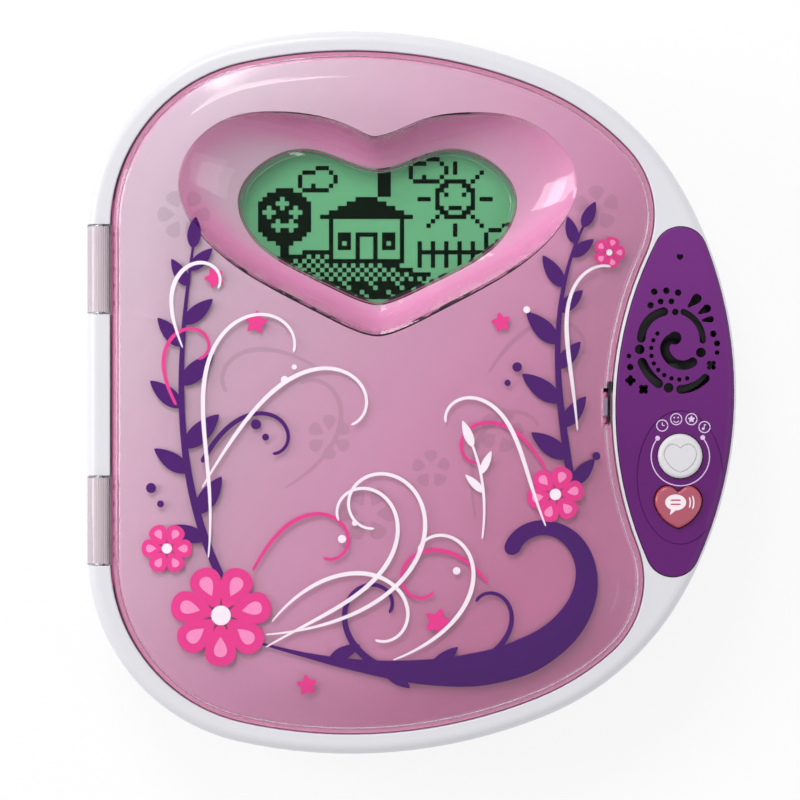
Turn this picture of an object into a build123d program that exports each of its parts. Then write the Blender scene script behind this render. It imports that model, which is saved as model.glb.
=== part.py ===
"""Electronic secret diary: a flat egg-shaped case with a hinged, domed cover.

The case is a bottom shell and a top frame. The frame's well holds a deck with the
display, five keys and a notepad tray. A crescent control panel with a speaker and two
buttons sits beside the well. The cover is a clear shell over a coloured inner shell,
and a heart-shaped funnel in it leaves the display in view. Millimetres, +Z up, the
origin on the ground under the case's middle, +Y towards the display's top edge.
"""

import math
import os

from build123d import *

os.makedirs("parts", exist_ok=True)

# ---- Case outline: arcs from the right-hand flank, over the crest, to the straight left side
case_half_width = 102.5
case_half_length = 114.2
crest_x = -19.3
shoulder_radius = 87.9
flank_angle = 30.0
shoulder_angle = 68.0
corner_angle = 102.6

# ---- Heights above the ground
foot_height = 1.0
parting_z = 18.0
deck_top_z = 24.5
rim_top_z = 34.0
cover_edge_z = 35.5
cover_top_z = 39.0
window_edge_z = 27.5

# ---- Walls and clearances
wall = 2.2
deck_thickness = 2.2
ledge_width = 3.0
ledge_thickness = 2.0
rim_width = 6.8
rim_edge_radius = 3.5
well_edge_radius = 0.5
base_edge_radius = 6.0
fit_gap = 0.25
running_gap = 0.05
cover_gap = 0.5
under_cover_gap = 0.8
spine_gap = 1.0
stop_gap = 0.1

# ---- Waist: the arc beside the control panel that cuts into the cover
waist_inset = 39.8
waist_y = -5.5
waist_radius = 118.0
bulge_radius = 30.0

# ---- Cover
clear_wall = 1.5
inner_wall = 1.9
layer_gap = 0.1
liner_thickness = 1.7
crown_width = 14.0
crown_radius = 60.0
cover_edge_radius, least_edge_radius = 2.2, 0.5
# The funnel's slope has a bevelled lip, and part-way in it has dropped this share of its depth.
funnel_lip, funnel_lip_drop = 1.0, 0.5
funnel_middle, funnel_hollow = 0.40, 0.56
layer_spread = 1.4

# ---- Heart shapes, from the cleft to the tip, as shares of half width and height
window_shape = (
    (0, 0.875), (0.10, 0.888), (0.24, 0.933), (0.50, 1.0), (0.80, 0.925), (1.0, 0.69),
    (0.906, 0.432), (0.60, 0.225), (0.30, 0.093), (0.09, 0.014), (0, 0),
)
bezel_shape = (
    (0, 0.889), (0.08, 0.91), (0.22, 0.963), (0.498, 1.0), (0.82, 0.945), (1.0, 0.70),
    (0.87, 0.44), (0.56, 0.228), (0.27, 0.092), (0.10, 0.02), (0, 0),
)
button_shape = (
    (0, 0.875), (0.08, 0.90), (0.26, 0.975), (0.53, 1.0), (0.86, 0.88), (1.0, 0.66),
    (0.84, 0.37), (0.45, 0.125), (0.12, 0.02), (0, 0),
)
heart_x = -10.9
window_half_width = 42.1
window_tip_y = 29.6
window_top_y = 75.3
bezel_half_width = 61.9
bezel_tip_y = 19.2
bezel_top_y = 87.0

# ---- Hinge
knuckle_radius = 4.0
knuckle_length = 27.7
knuckle_ys = (38.9, -40.4)
hinge_drop = 2.0
swing_gap = 0.3
notch_gap = 0.4
pin_radius = 1.0
pin_seat = 4.0
spine_margin = 4.0
spine_reach = 13.6
arm_height = 5.2
nub_radius, nub_rise, nub_inset = 0.9, 0.6, 0.3
nub_pitch = 5.4
nub_count = 5

# ---- Latch: a tongue on the cover and a bolt driven by a solenoid
latch_y = -4.6
catch_thickness = 1.3
catch_width, catch_corner = 6.2, 0.8
catch_top_drop = 1.2
catch_inset = 1.1
catch_tip_z = 17.0
catch_foot_length = 11.0
catch_foot_thickness = 1.5
catch_relief = 0.5
catch_relief_half_length = 3.9
slot_length, slot_corner = 12.0, 0.3
bolt_width = 3.4
bolt_height = 2.4
bolt_z = 20.0
bolt_rest_gap = 1.0
bolt_lead = 0.6
bolt_shoulder_gap = 0.4
bolt_window_gap = 0.45
plunger_radius = 1.6
plunger_length = 9.0
solenoid_length = 18.0
solenoid_width = 12.0
solenoid_height = 10.0
solenoid_gap = 2.0
solenoid_edge = 1.0
solenoid_end_wall = 2.0
cradle_inset = 2.0
tongue_gap = 0.4
tongue_bay = 8.2

# ---- Control panel: its features are placed from a line this far inside the case's right side
panel_line_inset = 18.0
panel_thickness = 3.0
panel_margin = 1.0
panel_tip_radius = 8.5
panel_ledge = 1.5
panel_edge_radius = 0.5
strip_width = 1.6
pocket_gap = 0.2
groove_width = 0.4
groove_depth = 0.35
mode_y, mode_radius = -20.0, 7.0
mode_mark_half_width, mode_mark_drop, mode_mark_rise = 5.3, 5.3, 3.9
voice_shift, voice_half_width = -0.6, 7.45
voice_tip_y, voice_top_y = -42.7, -29.5
oval_y, oval_half_width, oval_half_length = -26.8, 13.7, 21.2
button_gap = 0.35
button_rise = 1.7
cap_edge = 1.3
button_travel = 1.0
button_flange = 1.0
button_flange_thickness = 1.2
button_stem_length, button_stem_radius = 0.7, 3.6
pad_thickness = 0.6
pad_margin = 1.0
board_thickness = 1.6
board_corner = 2.0
post_reach, panel_post_radius = 9.0, 2.2
board_ear_width = 5.6
mic_y, mic_radius, mic_height = 42.7, 3.0, 3.0
mic_hole_half_width, mic_hole_height = 1.05, 1.9

# ---- Speaker
speaker_shift, speaker_y, speaker_radius = -2.3, 13.2, 13.6
speaker_rim = 1.6
speaker_depth = 9.6
magnet_radius, magnet_height = 8.0, 4.6
basket_wall = 1.0
cone_seat = 1.8
cone_thickness = 0.45
dome_radius, dome_rise = 4.0, 1.0

# ---- Grille: all places are measured from the speaker's middle
# Each curved slot: its start, middle and end, and its width.
grille_slots = (
    ((-9.9, 3.9), (-7.9, 9.2), (-2.8, 12.3), 2.8),
    ((3.4, 12.2), (7.9, 8.5), (9.5, 3.2), 2.0),
    ((-9.6, -3.7), (-7.4, -7.5), (-4.5, -10.4), 3.0),
    ((2.5, -12.2), (6.8, -11.2), (10.3, -8.7), 2.8),
)
hook_line = ((0.7, 4.0), (-1.6, 3.0), (-2.5, 0.7), (-1.6, -1.9), (0.7, -4.0), (3.4, -4.6), (6.3, -3.6))
hook_width, hook_head_radius = 3.0, 2.1
# Round holes: each radius and its places.
grille_holes = (
    (0.75, ((-13.8, -1.7), (14.0, -0.6))),
    (0.95, ((14.0, 2.3), (-3.8, 15.5), (-0.4, 15.5))),
    (1.05, ((-13.4, -5.2), (12.8, 5.3), (-5.8, 18.6), (-2.0, 18.9), (1.7, 18.3), (-7.0, 14.3), (0.8, 12.2))),
    (1.55, ((-10.4, 0.4), (8.9, -0.6), (-1.3, -11.7))),
)
bead_ring = (2.1, -0.2, 8.9)
bead_radius, bead_start, bead_sweep, bead_count = 0.7, 141.0, 145.0, 10
# Four-lobed holes: middle and turn. Petals: middle of the round end, turn, length and radius.
clover_holes = ((-13.3, -9.4, 0.0), (-9.2, -12.2, 45.0), (12.2, -4.6, 45.0))
clover_reach, clover_lobe_radius = 0.95, 0.75
petal_holes = ((7.6, 16.4, 44.0, 5.4, 1.55), (10.8, 13.3, 31.0, 4.5, 1.3), (12.0, 9.9, 8.0, 3.9, 1.0))
petal_tip_radius = 0.45

# ---- Display
glass_length, glass_width, glass_thickness = 98.0, 58.0, 2.0
glass_y = 53.0
holder_rim = 2.0
holder_floor = 0.7
lens_thickness = 2.0
lens_grow = 2.0

# ---- Keys on the deck
key_y = 8.0
key_pitch = 21.0
key_length, key_width, key_corner = 11.0, 8.0, 3.4
ok_half_width, ok_height = 7.0, 11.0
key_rise = 0.4
key_travel = 0.7
key_flange = 0.9
key_flange_thickness = 0.8
key_edge = 0.8
mat_gap = 0.2
key_mat_thickness, key_mat_margin = 0.5, 2.0
board_length, board_width, main_board_corner = 118.0, 24.0, 1.5
board_y = 9.0
post_radius = 2.5
pin_step = 0.5

# ---- Notepad tray
tray_x, tray_y = -13.0, -49.0
tray_length, tray_width, tray_corner = 118.0, 78.0, 8.0
tray_floor_z = 10.5
tray_wall = 1.5
notepad_gap = 3.0
notepad_height = 8.0
notepad_cover = 0.6
notepad_overhang = 0.5

# ---- Batteries: three AA cells side by side
cell_radius, cell_length, cell_count = 7.25, 50.5, 3
cell_pitch = 15.0
cell_clearance = 0.2
bay_y = 57.0
bay_wall, bay_corner = 1.6, 1.0
bay_side_room = 1.0
bay_ceiling = 1.3
contact_room = 4.0
contact_thickness = 0.5
contact_width = 9.0
contact_cone_margin, contact_taper = 0.6, 20
terminal_radius, terminal_height = 2.7, 1.2
door_tongue_length, door_tongue_width, door_tongue_corner = 7.0, 16.0, 2.0
door_tongue_gap = 0.5
grip_length, grip_width, grip_depth, grip_inset = 18.0, 5.0, 0.6, 8.0

# ---- Fasteners and feet
boss_radius = 3.6
boss_inset = 4.2
side_boss_y = 64.0
shoulder_boss_angle = 58.0
screw_radius = 1.3
screw_head_radius = 2.6
screw_head_height = 2.0
screw_head_z = 11.0
screw_tip_gap = 0.8
screw_slot = (2.4, 0.7, 0.9)
counterbore_radius = 3.0
small_screw_radius = 1.0
small_head_radius = 1.9
small_head_height, door_head_height = 1.1, 0.6
small_slot = (1.8, 0.5, 0.4)
door_screw_length, cover_screw_length, cover_screw_bore = 12.0, 5.0, 6.0
cover_boss_radius = 2.8
spine_boss_inset, spine_boss_y = 14.2, 72.0
crest_boss_x, crest_boss_inset = -15.0, 9.4
bulge_boss_reach, bulge_boss_y = 3.3, 62.0
foot_radius = 7.0
foot_left_inset, foot_right_inset, foot_y = 26.5, 50.5, 62.0
foot_recess, foot_chamfer = 0.4, 0.3

# ---- Places that follow from the sizes above
case_bottom_z = foot_height
floor_z = case_bottom_z + wall
deck_under_z = deck_top_z - deck_thickness
ledge_under_z = deck_under_z - ledge_thickness
cover_bottom_z = deck_top_z + under_cover_gap
hinge_x = -case_half_width + knuckle_radius
hinge_z = rim_top_z - hinge_drop
cover_left = hinge_x + knuckle_radius + swing_gap
well_left = cover_left - spine_gap
waist_x = case_half_width - waist_inset
waist_centre = (waist_x + waist_radius, waist_y)
panel_x = case_half_width - panel_line_inset
mode_x = panel_x
voice_x = panel_x + voice_shift
speaker_x = panel_x + speaker_shift
panel_under_z = rim_top_z - panel_thickness
overshoot = 1.0


def arc_radii(left, inset):
    """Radii of the flank, crest and left corner arcs that close the outline at X = left."""
    a, b, c = (math.radians(angle) for angle in (flank_angle, shoulder_angle, corner_angle))
    width = case_half_width - crest_x - shoulder_radius * (math.cos(a) - math.cos(b))
    height = case_half_length - shoulder_radius * (math.sin(b) - math.sin(a))
    spread = math.sin(a) * math.cos(b) - (1 - math.cos(a)) * (1 - math.sin(b))
    flank = (height * math.cos(b) - width * (1 - math.sin(b))) / spread - inset
    crest = (width * math.sin(a) - height * (1 - math.cos(a))) / spread - inset
    corner = (crest_x + crest * math.cos(c) - left) / (1 + math.cos(c))
    return flank, crest, corner


def case_outline(z, inset=0.0, left=None):
    """The case's outline at height z, inset all round, with its left side at X = left."""
    left = -case_half_width + inset if left is None else left
    flank_radius, crest_radius, corner_radius = arc_radii(left, inset)
    with BuildSketch(Plane.XY.offset(z)) as profile:
        with BuildLine():
            flank = JernArc((case_half_width - inset, 0), (0, 1), flank_radius, flank_angle)
            shoulder = JernArc(
                flank @ 1, flank % 1, shoulder_radius - inset, shoulder_angle - flank_angle
            )
            crest = JernArc(shoulder @ 1, shoulder % 1, crest_radius, corner_angle - shoulder_angle)
            corner = JernArc(crest @ 1, crest % 1, corner_radius, 180 - corner_angle)
            Line(corner @ 1, (left, 0))
            mirror(about=Plane.XZ)
        make_face()
    return profile.sketch


def cover_outline(z, inset=0.0, left=None):
    """The cover's outline: the case's, inset by the rim and cut by the waist arc."""
    left = cover_left + inset if left is None else left
    with BuildSketch(Plane.XY.offset(z)) as profile:
        add(case_outline(z, rim_width + inset, left))
        with Locations(waist_centre):
            Circle(waist_radius + inset, mode=Mode.SUBTRACT)
        # Pulling in and pushing out again by one radius rounds the two bulges.
        offset(amount=-(bulge_radius - inset))
        offset(amount=bulge_radius - inset)
    return profile.sketch


def well_outline(z, grow=0.0):
    """The opening in the case's frame: the cover's outline and its clearance."""
    return cover_outline(z, -cover_gap - grow, well_left - grow)


def panel_outline(z, inset=0.0):
    """The control panel's outline: between the case's edge and the waist strip."""
    with BuildSketch(Plane.XY.offset(z)) as profile:
        add(case_outline(z, panel_margin + inset))
        with Locations(waist_centre):
            Circle(waist_radius - strip_width - inset, mode=Mode.INTERSECT)
        offset(amount=-(panel_tip_radius - inset))
        offset(amount=panel_tip_radius - inset)
    return profile.sketch


def heart(z, x, half_width, tip_y, top_y, grow=0.0, shape=button_shape):
    """A heart standing on its tip at height z, grown outwards by grow."""
    wide = half_width + grow
    low = tip_y - grow
    high = top_y + grow - low
    both_sides = [*shape, *[(-across, up) for across, up in shape[-2:0:-1]]]
    with BuildSketch(Plane.XY.offset(z)) as profile:
        with BuildLine():
            Spline(*[(x + wide * across, low + high * up) for across, up in both_sides], periodic=True)
        make_face()
    return profile.sketch


def window_heart(z, grow=0.0):
    return heart(z, heart_x, window_half_width, window_tip_y, window_top_y, grow, window_shape)


def funnel_heart(z, share, grow=0.0):
    """The funnel's heart, from the bezel's edge (share 0) to the window's edge (share 1)."""
    half_width = bezel_half_width + share * (window_half_width - bezel_half_width)
    tip_y = bezel_tip_y + share * (window_tip_y - bezel_tip_y)
    top_y = bezel_top_y + share * (window_top_y - bezel_top_y)
    shape = [
        (x + share * (inner_x - x), y + share * (inner_y - y))
        for (x, y), (inner_x, inner_y) in zip(bezel_shape, window_shape)
    ]
    return heart(z, heart_x, half_width, tip_y, top_y, grow, shape)


def cover_solid(inset, bottom_z):
    """The domed cover with its heart funnel, all faces pulled in by inset, from bottom_z up."""
    top_z = cover_top_z - inset
    edge_z = cover_edge_z - inset
    grow = inset * layer_spread
    with BuildPart() as slab:
        extrude(cover_outline(bottom_z, inset), amount=top_z - bottom_z)
        crest = slab.faces().sort_by(Axis.Z)[-1]
        chamfer(crest.edges(), length=crown_width, length2=top_z - edge_z, reference=crest)
        fillet(slab.faces().sort_by(Axis.Z)[-1].edges(), radius=crown_radius)
        fillet(
            slab.edges().filter_by(lambda edge: abs(edge.center().Z - edge_z) < 0.01),
            radius=max(cover_edge_radius - inset / 2, least_edge_radius),
        )
        # The funnel: a bevelled lip, a hollow slope and a straight hole.
        lip_z = cover_top_z - funnel_lip_drop
        with BuildSketch(Plane.XY.offset(cover_top_z)):
            add(funnel_heart(cover_top_z, 0.0, grow + funnel_lip))
        with BuildSketch(Plane.XY.offset(lip_z)):
            add(funnel_heart(lip_z, 0.0, grow))
        loft(ruled=True, mode=Mode.SUBTRACT)
        for share, drop in ((0.0, 0.0), (funnel_middle, funnel_hollow), (1.0, 1.0)):
            z = lip_z - drop * (lip_z - window_edge_z)
            with BuildSketch(Plane.XY.offset(z)):
                add(funnel_heart(z, share, grow))
        loft(mode=Mode.SUBTRACT)
        extrude(window_heart(bottom_z, grow), amount=window_edge_z - bottom_z, mode=Mode.SUBTRACT)
    return slab.part


def shoulder_point(angle, inset):
    """A point inside the outline's right shoulder, at this angle and inset from the edge."""
    flank_radius = arc_radii(-case_half_width, 0.0)[0]
    back = flank_radius - shoulder_radius
    x = case_half_width - flank_radius + back * math.cos(math.radians(flank_angle))
    y = back * math.sin(math.radians(flank_angle))
    reach = shoulder_radius - inset
    return x + reach * math.cos(math.radians(angle)), y + reach * math.sin(math.radians(angle))


def plate(z, thickness, length, width, corner, x, y):
    """A flat slab with rounded corners, centred on (x, y) and standing on height z."""
    with BuildPart() as slab:
        with BuildSketch(Plane.XY.offset(z)):
            with Locations((x, y)):
                RectangleRounded(length, width, corner)
        extrude(amount=thickness)
    return slab.part


def save(name, part):
    """Labels a finished piece and writes its STEP file."""
    part.label = name
    export_step(part, f"parts/{name}.step")


# ---- Sites shared by several pieces
upper_bosses = (
    (cover_left + boss_inset, side_boss_y),
    (crest_x, case_half_length - rim_width - boss_inset),
    shoulder_point(shoulder_boss_angle, rim_width + boss_inset),
)
boss_sites = [(x, side * y) for x, y in upper_bosses for side in (1, -1)]
foot_xs = (foot_left_inset - case_half_width, case_half_width - foot_right_inset)
foot_sites = [(x, side * foot_y) for x in foot_xs for side in (1, -1)]
upper_cover_bosses = (
    (cover_left + spine_boss_inset, spine_boss_y),
    (crest_boss_x, case_half_length - rim_width - crest_boss_inset),
    (waist_x + bulge_boss_reach, bulge_boss_y),
)
cover_sites = [(x, side * y) for x, y in upper_cover_bosses for side in (1, -1)]
bay_length = cell_length + contact_room
bay_width = cell_pitch * cell_count + bay_side_room
cell_xs = [heart_x + cell_pitch * (i - (cell_count - 1) / 2) for i in range(cell_count)]
cell_z = floor_z + cell_clearance + cell_radius
bay_top_z = cell_z + cell_radius + cell_clearance
mat_z = deck_under_z - stop_gap - key_flange_thickness - key_travel - mat_gap - key_mat_thickness
board_z = mat_z - board_thickness
post_sites = [
    (heart_x + across * (board_length / 2 - 2 * post_radius), board_y + up * (board_width / 2 - 2 * post_radius))
    for across in (-1, 1)
    for up in (-1, 1)
]
door_tongue_y = bay_y - bay_length / 2 - bay_wall - door_tongue_length / 2 - door_tongue_gap
solenoid_x = waist_x + cover_gap + wall + solenoid_gap
catch_x = waist_x - catch_inset - catch_thickness
catch_top_z = cover_edge_z - catch_top_drop
button_board_z = (
    panel_under_z
    - fit_gap
    - button_flange_thickness
    - button_stem_length
    - button_travel
    - pad_thickness
    - board_thickness
)

# ---- Bottom shell ---------------------------------------------------------------------
with BuildPart() as cavity:
    extrude(case_outline(floor_z, wall), amount=parting_z - floor_z)
    fillet(cavity.faces().sort_by(Axis.Z)[0].edges(), radius=base_edge_radius - wall)
bay_box = plate(
    floor_z, bay_top_z + bay_ceiling - floor_z, bay_width + 2 * bay_wall, bay_length + 2 * bay_wall,
    bay_corner + bay_wall, heart_x, bay_y,
)
bay_room = plate(
    case_bottom_z - overshoot, bay_top_z - case_bottom_z + overshoot, bay_width, bay_length,
    bay_corner, heart_x, bay_y,
)
tongue_room = plate(
    case_bottom_z - overshoot, overshoot + wall / 2, door_tongue_width, 2 * door_tongue_length,
    door_tongue_corner, heart_x, door_tongue_y + door_tongue_length / 2,
)
with BuildPart() as bottom_shell:
    extrude(case_outline(case_bottom_z), amount=parting_z - case_bottom_z)
    fillet(bottom_shell.faces().sort_by(Axis.Z)[0].edges(), radius=base_edge_radius)
    add(cavity.part, mode=Mode.SUBTRACT)
    # The battery bay, screw bosses, board posts and the solenoid's cradle stand on the floor.
    add(bay_box)
    with BuildSketch(Plane.XY.offset(floor_z)):
        with Locations(*boss_sites):
            Circle(boss_radius)
        with Locations((heart_x, door_tongue_y)):
            Circle(boss_radius)
    extrude(amount=parting_z - floor_z)
    with BuildSketch(Plane.XY.offset(floor_z)):
        with Locations(*post_sites):
            Circle(post_radius)
    extrude(amount=board_z - floor_z)
    with BuildSketch(Plane.XY.offset(floor_z)):
        with Locations((solenoid_x + solenoid_length / 2, latch_y)):
            Rectangle(solenoid_length - 2 * cradle_inset, solenoid_width - 2 * cradle_inset)
    extrude(amount=bolt_z - solenoid_height / 2 - floor_z)
    add(bay_room, mode=Mode.SUBTRACT)
    add(tongue_room, mode=Mode.SUBTRACT)
    # Screws come up from below through counterbored bosses.
    with BuildSketch(Plane.XY.offset(case_bottom_z)):
        with Locations(*boss_sites):
            Circle(counterbore_radius)
    extrude(amount=screw_head_z - case_bottom_z, mode=Mode.SUBTRACT)
    with BuildSketch(Plane.XY.offset(case_bottom_z)):
        with Locations(*boss_sites):
            Circle(screw_radius + running_gap)
        with Locations((heart_x, door_tongue_y)):
            Circle(small_screw_radius)
    extrude(amount=parting_z - case_bottom_z, mode=Mode.SUBTRACT)
    with BuildSketch(Plane.XY.offset(case_bottom_z)):
        with Locations(*foot_sites):
            Circle(foot_radius + running_gap)
    extrude(amount=foot_recess, mode=Mode.SUBTRACT)
save("bottom_shell", bottom_shell.part)

# ---- Battery door, cells and contacts -------------------------------------------------
with BuildPart() as battery_door:
    with BuildSketch(Plane.XY.offset(case_bottom_z)):
        with Locations((heart_x, bay_y)):
            RectangleRounded(bay_width - 2 * fit_gap, bay_length - 2 * fit_gap, bay_corner - fit_gap)
    extrude(amount=wall)
    with BuildSketch(Plane.XY.offset(case_bottom_z)):
        with Locations((heart_x, door_tongue_y + door_tongue_length / 2)):
            RectangleRounded(
                door_tongue_width - 2 * fit_gap, 2 * (door_tongue_length - fit_gap), door_tongue_corner - fit_gap
            )
    extrude(amount=wall / 2 - running_gap)
    with Locations((heart_x, bay_y + bay_length / 2 - grip_inset, case_bottom_z)):
        Box(grip_length, grip_width, grip_depth, align=(Align.CENTER, Align.CENTER, Align.MIN), mode=Mode.SUBTRACT)
    with Locations((heart_x, door_tongue_y, case_bottom_z)):
        Cylinder(
            small_screw_radius + running_gap, wall,
            align=(Align.CENTER, Align.CENTER, Align.MIN), mode=Mode.SUBTRACT,
        )
save("battery_door", battery_door.part)

with BuildPart() as batteries:
    for i, x in enumerate(cell_xs):
        way = 1 if i % 2 else -1
        flat_y = bay_y - way * cell_length / 2
        shoulder_y = bay_y + way * (cell_length / 2 - terminal_height)
        with BuildSketch(Plane.XZ.offset(-flat_y)):
            with Locations((x, cell_z)):
                Circle(cell_radius)
        extrude(amount=-way * (cell_length - terminal_height))
        with BuildSketch(Plane.XZ.offset(-shoulder_y)):
            with Locations((x, cell_z)):
                Circle(terminal_radius)
        extrude(amount=-way * terminal_height)
save("batteries", batteries.part)

with BuildPart() as battery_contacts:
    for side in (-1, 1):
        wall_y = bay_y + side * bay_length / 2
        with BuildSketch(Plane.XZ.offset(-wall_y)):
            with Locations(*[(x, cell_z) for x in cell_xs]):
                Rectangle(contact_width, contact_width)
        extrude(amount=side * contact_thickness)
        with BuildSketch(Plane.XZ.offset(-wall_y)):
            with Locations(*[(x, cell_z) for x in cell_xs]):
                Circle(terminal_radius + contact_cone_margin)
        extrude(amount=side * (contact_room / 2 - running_gap), taper=contact_taper)
save("battery_contacts", battery_contacts.part)

# ---- Screws and feet under the case ---------------------------------------------------
with BuildPart() as case_screws:
    with BuildSketch(Plane.XY.offset(screw_head_z - screw_head_height)):
        with Locations(*boss_sites):
            Circle(screw_head_radius)
    extrude(amount=screw_head_height)
    with BuildSketch(Plane.XY.offset(screw_head_z - screw_head_height)):
        with Locations(*boss_sites):
            Rectangle(screw_slot[0], screw_slot[1])
            Rectangle(screw_slot[1], screw_slot[0])
    extrude(amount=screw_slot[2], mode=Mode.SUBTRACT)
    with BuildSketch(Plane.XY.offset(screw_head_z)):
        with Locations(*boss_sites):
            Circle(screw_radius)
    extrude(amount=deck_under_z - screw_tip_gap - screw_head_z)
save("case_screws", case_screws.part)

with BuildPart() as battery_door_screw:
    with BuildSketch(Plane.XY.offset(case_bottom_z - door_head_height)):
        with Locations((heart_x, door_tongue_y)):
            Circle(small_head_radius)
    extrude(amount=door_head_height)
    with BuildSketch(Plane.XY.offset(case_bottom_z - door_head_height)):
        with Locations((heart_x, door_tongue_y)):
            Rectangle(small_slot[0], small_slot[1])
            Rectangle(small_slot[1], small_slot[0])
    extrude(amount=small_slot[2], mode=Mode.SUBTRACT)
    with BuildSketch(Plane.XY.offset(case_bottom_z)):
        with Locations((heart_x, door_tongue_y)):
            Circle(small_screw_radius)
    extrude(amount=door_screw_length)
save("battery_door_screw", battery_door_screw.part)

with BuildPart() as feet:
    with BuildSketch(Plane.XY):
        with Locations(*foot_sites):
            Circle(foot_radius)
    extrude(amount=foot_height + foot_recess)
    chamfer(feet.edges().group_by(Axis.Z)[0], length=foot_chamfer)
save("feet", feet.part)

# ---- Top frame ------------------------------------------------------------------------
spine_half_length = max(abs(y) for y in knuckle_ys) + knuckle_length / 2 + pin_seat + spine_margin
notch_z = hinge_z - knuckle_radius - notch_gap
notch_start_x = catch_x - tongue_gap
notch_end_x = waist_x + cover_gap + fit_gap
latch_notch = plate(
    parting_z, deck_top_z - parting_z + overshoot, notch_end_x - notch_start_x,
    tongue_bay, fit_gap, (notch_start_x + notch_end_x) / 2, latch_y,
)
with BuildPart() as frame_blank:
    extrude(case_outline(parting_z), amount=rim_top_z - parting_z)
    fillet(frame_blank.faces().sort_by(Axis.Z)[-1].edges(), radius=rim_edge_radius)

with BuildPart() as top_frame:
    add(frame_blank.part)
    extrude(well_outline(deck_under_z), amount=rim_top_z - deck_under_z, mode=Mode.SUBTRACT)
    fillet(
        top_frame.faces().filter_by(Plane.XY).sort_by(Axis.Z)[-1].inner_wires()[0].edges(),
        radius=well_edge_radius,
    )
    extrude(well_outline(ledge_under_z, -ledge_width), amount=ledge_thickness, mode=Mode.SUBTRACT)
    extrude(case_outline(parting_z, wall), amount=ledge_under_z - parting_z, mode=Mode.SUBTRACT)
    # The walls beside the well are hollow, but for the spine that holds the hinge pins.
    with BuildSketch(Plane.XY.offset(ledge_under_z)):
        add(case_outline(ledge_under_z, wall))
        add(well_outline(ledge_under_z, wall), mode=Mode.SUBTRACT)
        with Locations((-case_half_width, 0)):
            Rectangle(2 * spine_reach, 2 * spine_half_length, mode=Mode.SUBTRACT)
    extrude(amount=panel_under_z - panel_ledge - ledge_under_z, mode=Mode.SUBTRACT)
    with BuildSketch(Plane.XY.offset(panel_under_z - panel_ledge)):
        add(case_outline(panel_under_z - panel_ledge, wall))
        add(well_outline(panel_under_z - panel_ledge, wall), mode=Mode.SUBTRACT)
        add(panel_outline(panel_under_z - panel_ledge, -wall), mode=Mode.SUBTRACT)
        with Locations((-case_half_width, 0)):
            Rectangle(2 * spine_reach, 2 * spine_half_length, mode=Mode.SUBTRACT)
    extrude(amount=panel_ledge + panel_thickness - wall, mode=Mode.SUBTRACT)
    # The control panel's pocket and the opening under it.
    extrude(panel_outline(panel_under_z, -pocket_gap), amount=panel_thickness + overshoot, mode=Mode.SUBTRACT)
    extrude(
        panel_outline(panel_under_z - panel_ledge - overshoot, panel_ledge),
        amount=panel_ledge + 2 * overshoot, mode=Mode.SUBTRACT,
    )
    # Screw bosses under the ledge.
    with BuildSketch(Plane.XY.offset(parting_z)):
        with Locations(*boss_sites):
            Circle(boss_radius)
    extrude(amount=deck_under_z - parting_z)
    with BuildSketch(Plane.XY.offset(parting_z)):
        with Locations(*boss_sites):
            Circle(screw_radius)
    extrude(amount=deck_under_z - parting_z, mode=Mode.SUBTRACT)
    # Notches for the cover's knuckles and holes for their pins.
    with BuildSketch(Plane.XY.offset(notch_z)):
        with Locations(*[((well_left - case_half_width) / 2, y) for y in knuckle_ys]):
            Rectangle(case_half_width + well_left + 2 * overshoot, knuckle_length + 2 * notch_gap)
    extrude(amount=rim_top_z - notch_z + overshoot, mode=Mode.SUBTRACT)
    for y in knuckle_ys:
        with BuildSketch(Plane.XZ.offset(-y - knuckle_length / 2 - notch_gap - pin_seat)):
            with Locations((hinge_x, hinge_z)):
                Circle(pin_radius + running_gap)
        extrude(amount=knuckle_length + 2 * notch_gap + 2 * pin_seat, mode=Mode.SUBTRACT)
    # The latch's tongue comes down through the ledge and its bolt through the well's wall.
    add(latch_notch, mode=Mode.SUBTRACT)
    with BuildSketch(Plane.YZ.offset(catch_x)):
        with Locations((latch_y, bolt_z)):
            Rectangle(bolt_width + 2 * fit_gap, 2 * plunger_radius + 2 * fit_gap)
    extrude(amount=solenoid_x - catch_x, mode=Mode.SUBTRACT)
save("top_frame", top_frame.part)

with BuildPart() as hinge_pins:
    for y in knuckle_ys:
        with BuildSketch(Plane.XZ.offset(-y - knuckle_length / 2 - notch_gap - pin_seat)):
            with Locations((hinge_x, hinge_z)):
                Circle(pin_radius)
        extrude(amount=knuckle_length + 2 * notch_gap + 2 * pin_seat)
save("hinge_pins", hinge_pins.part)

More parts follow.
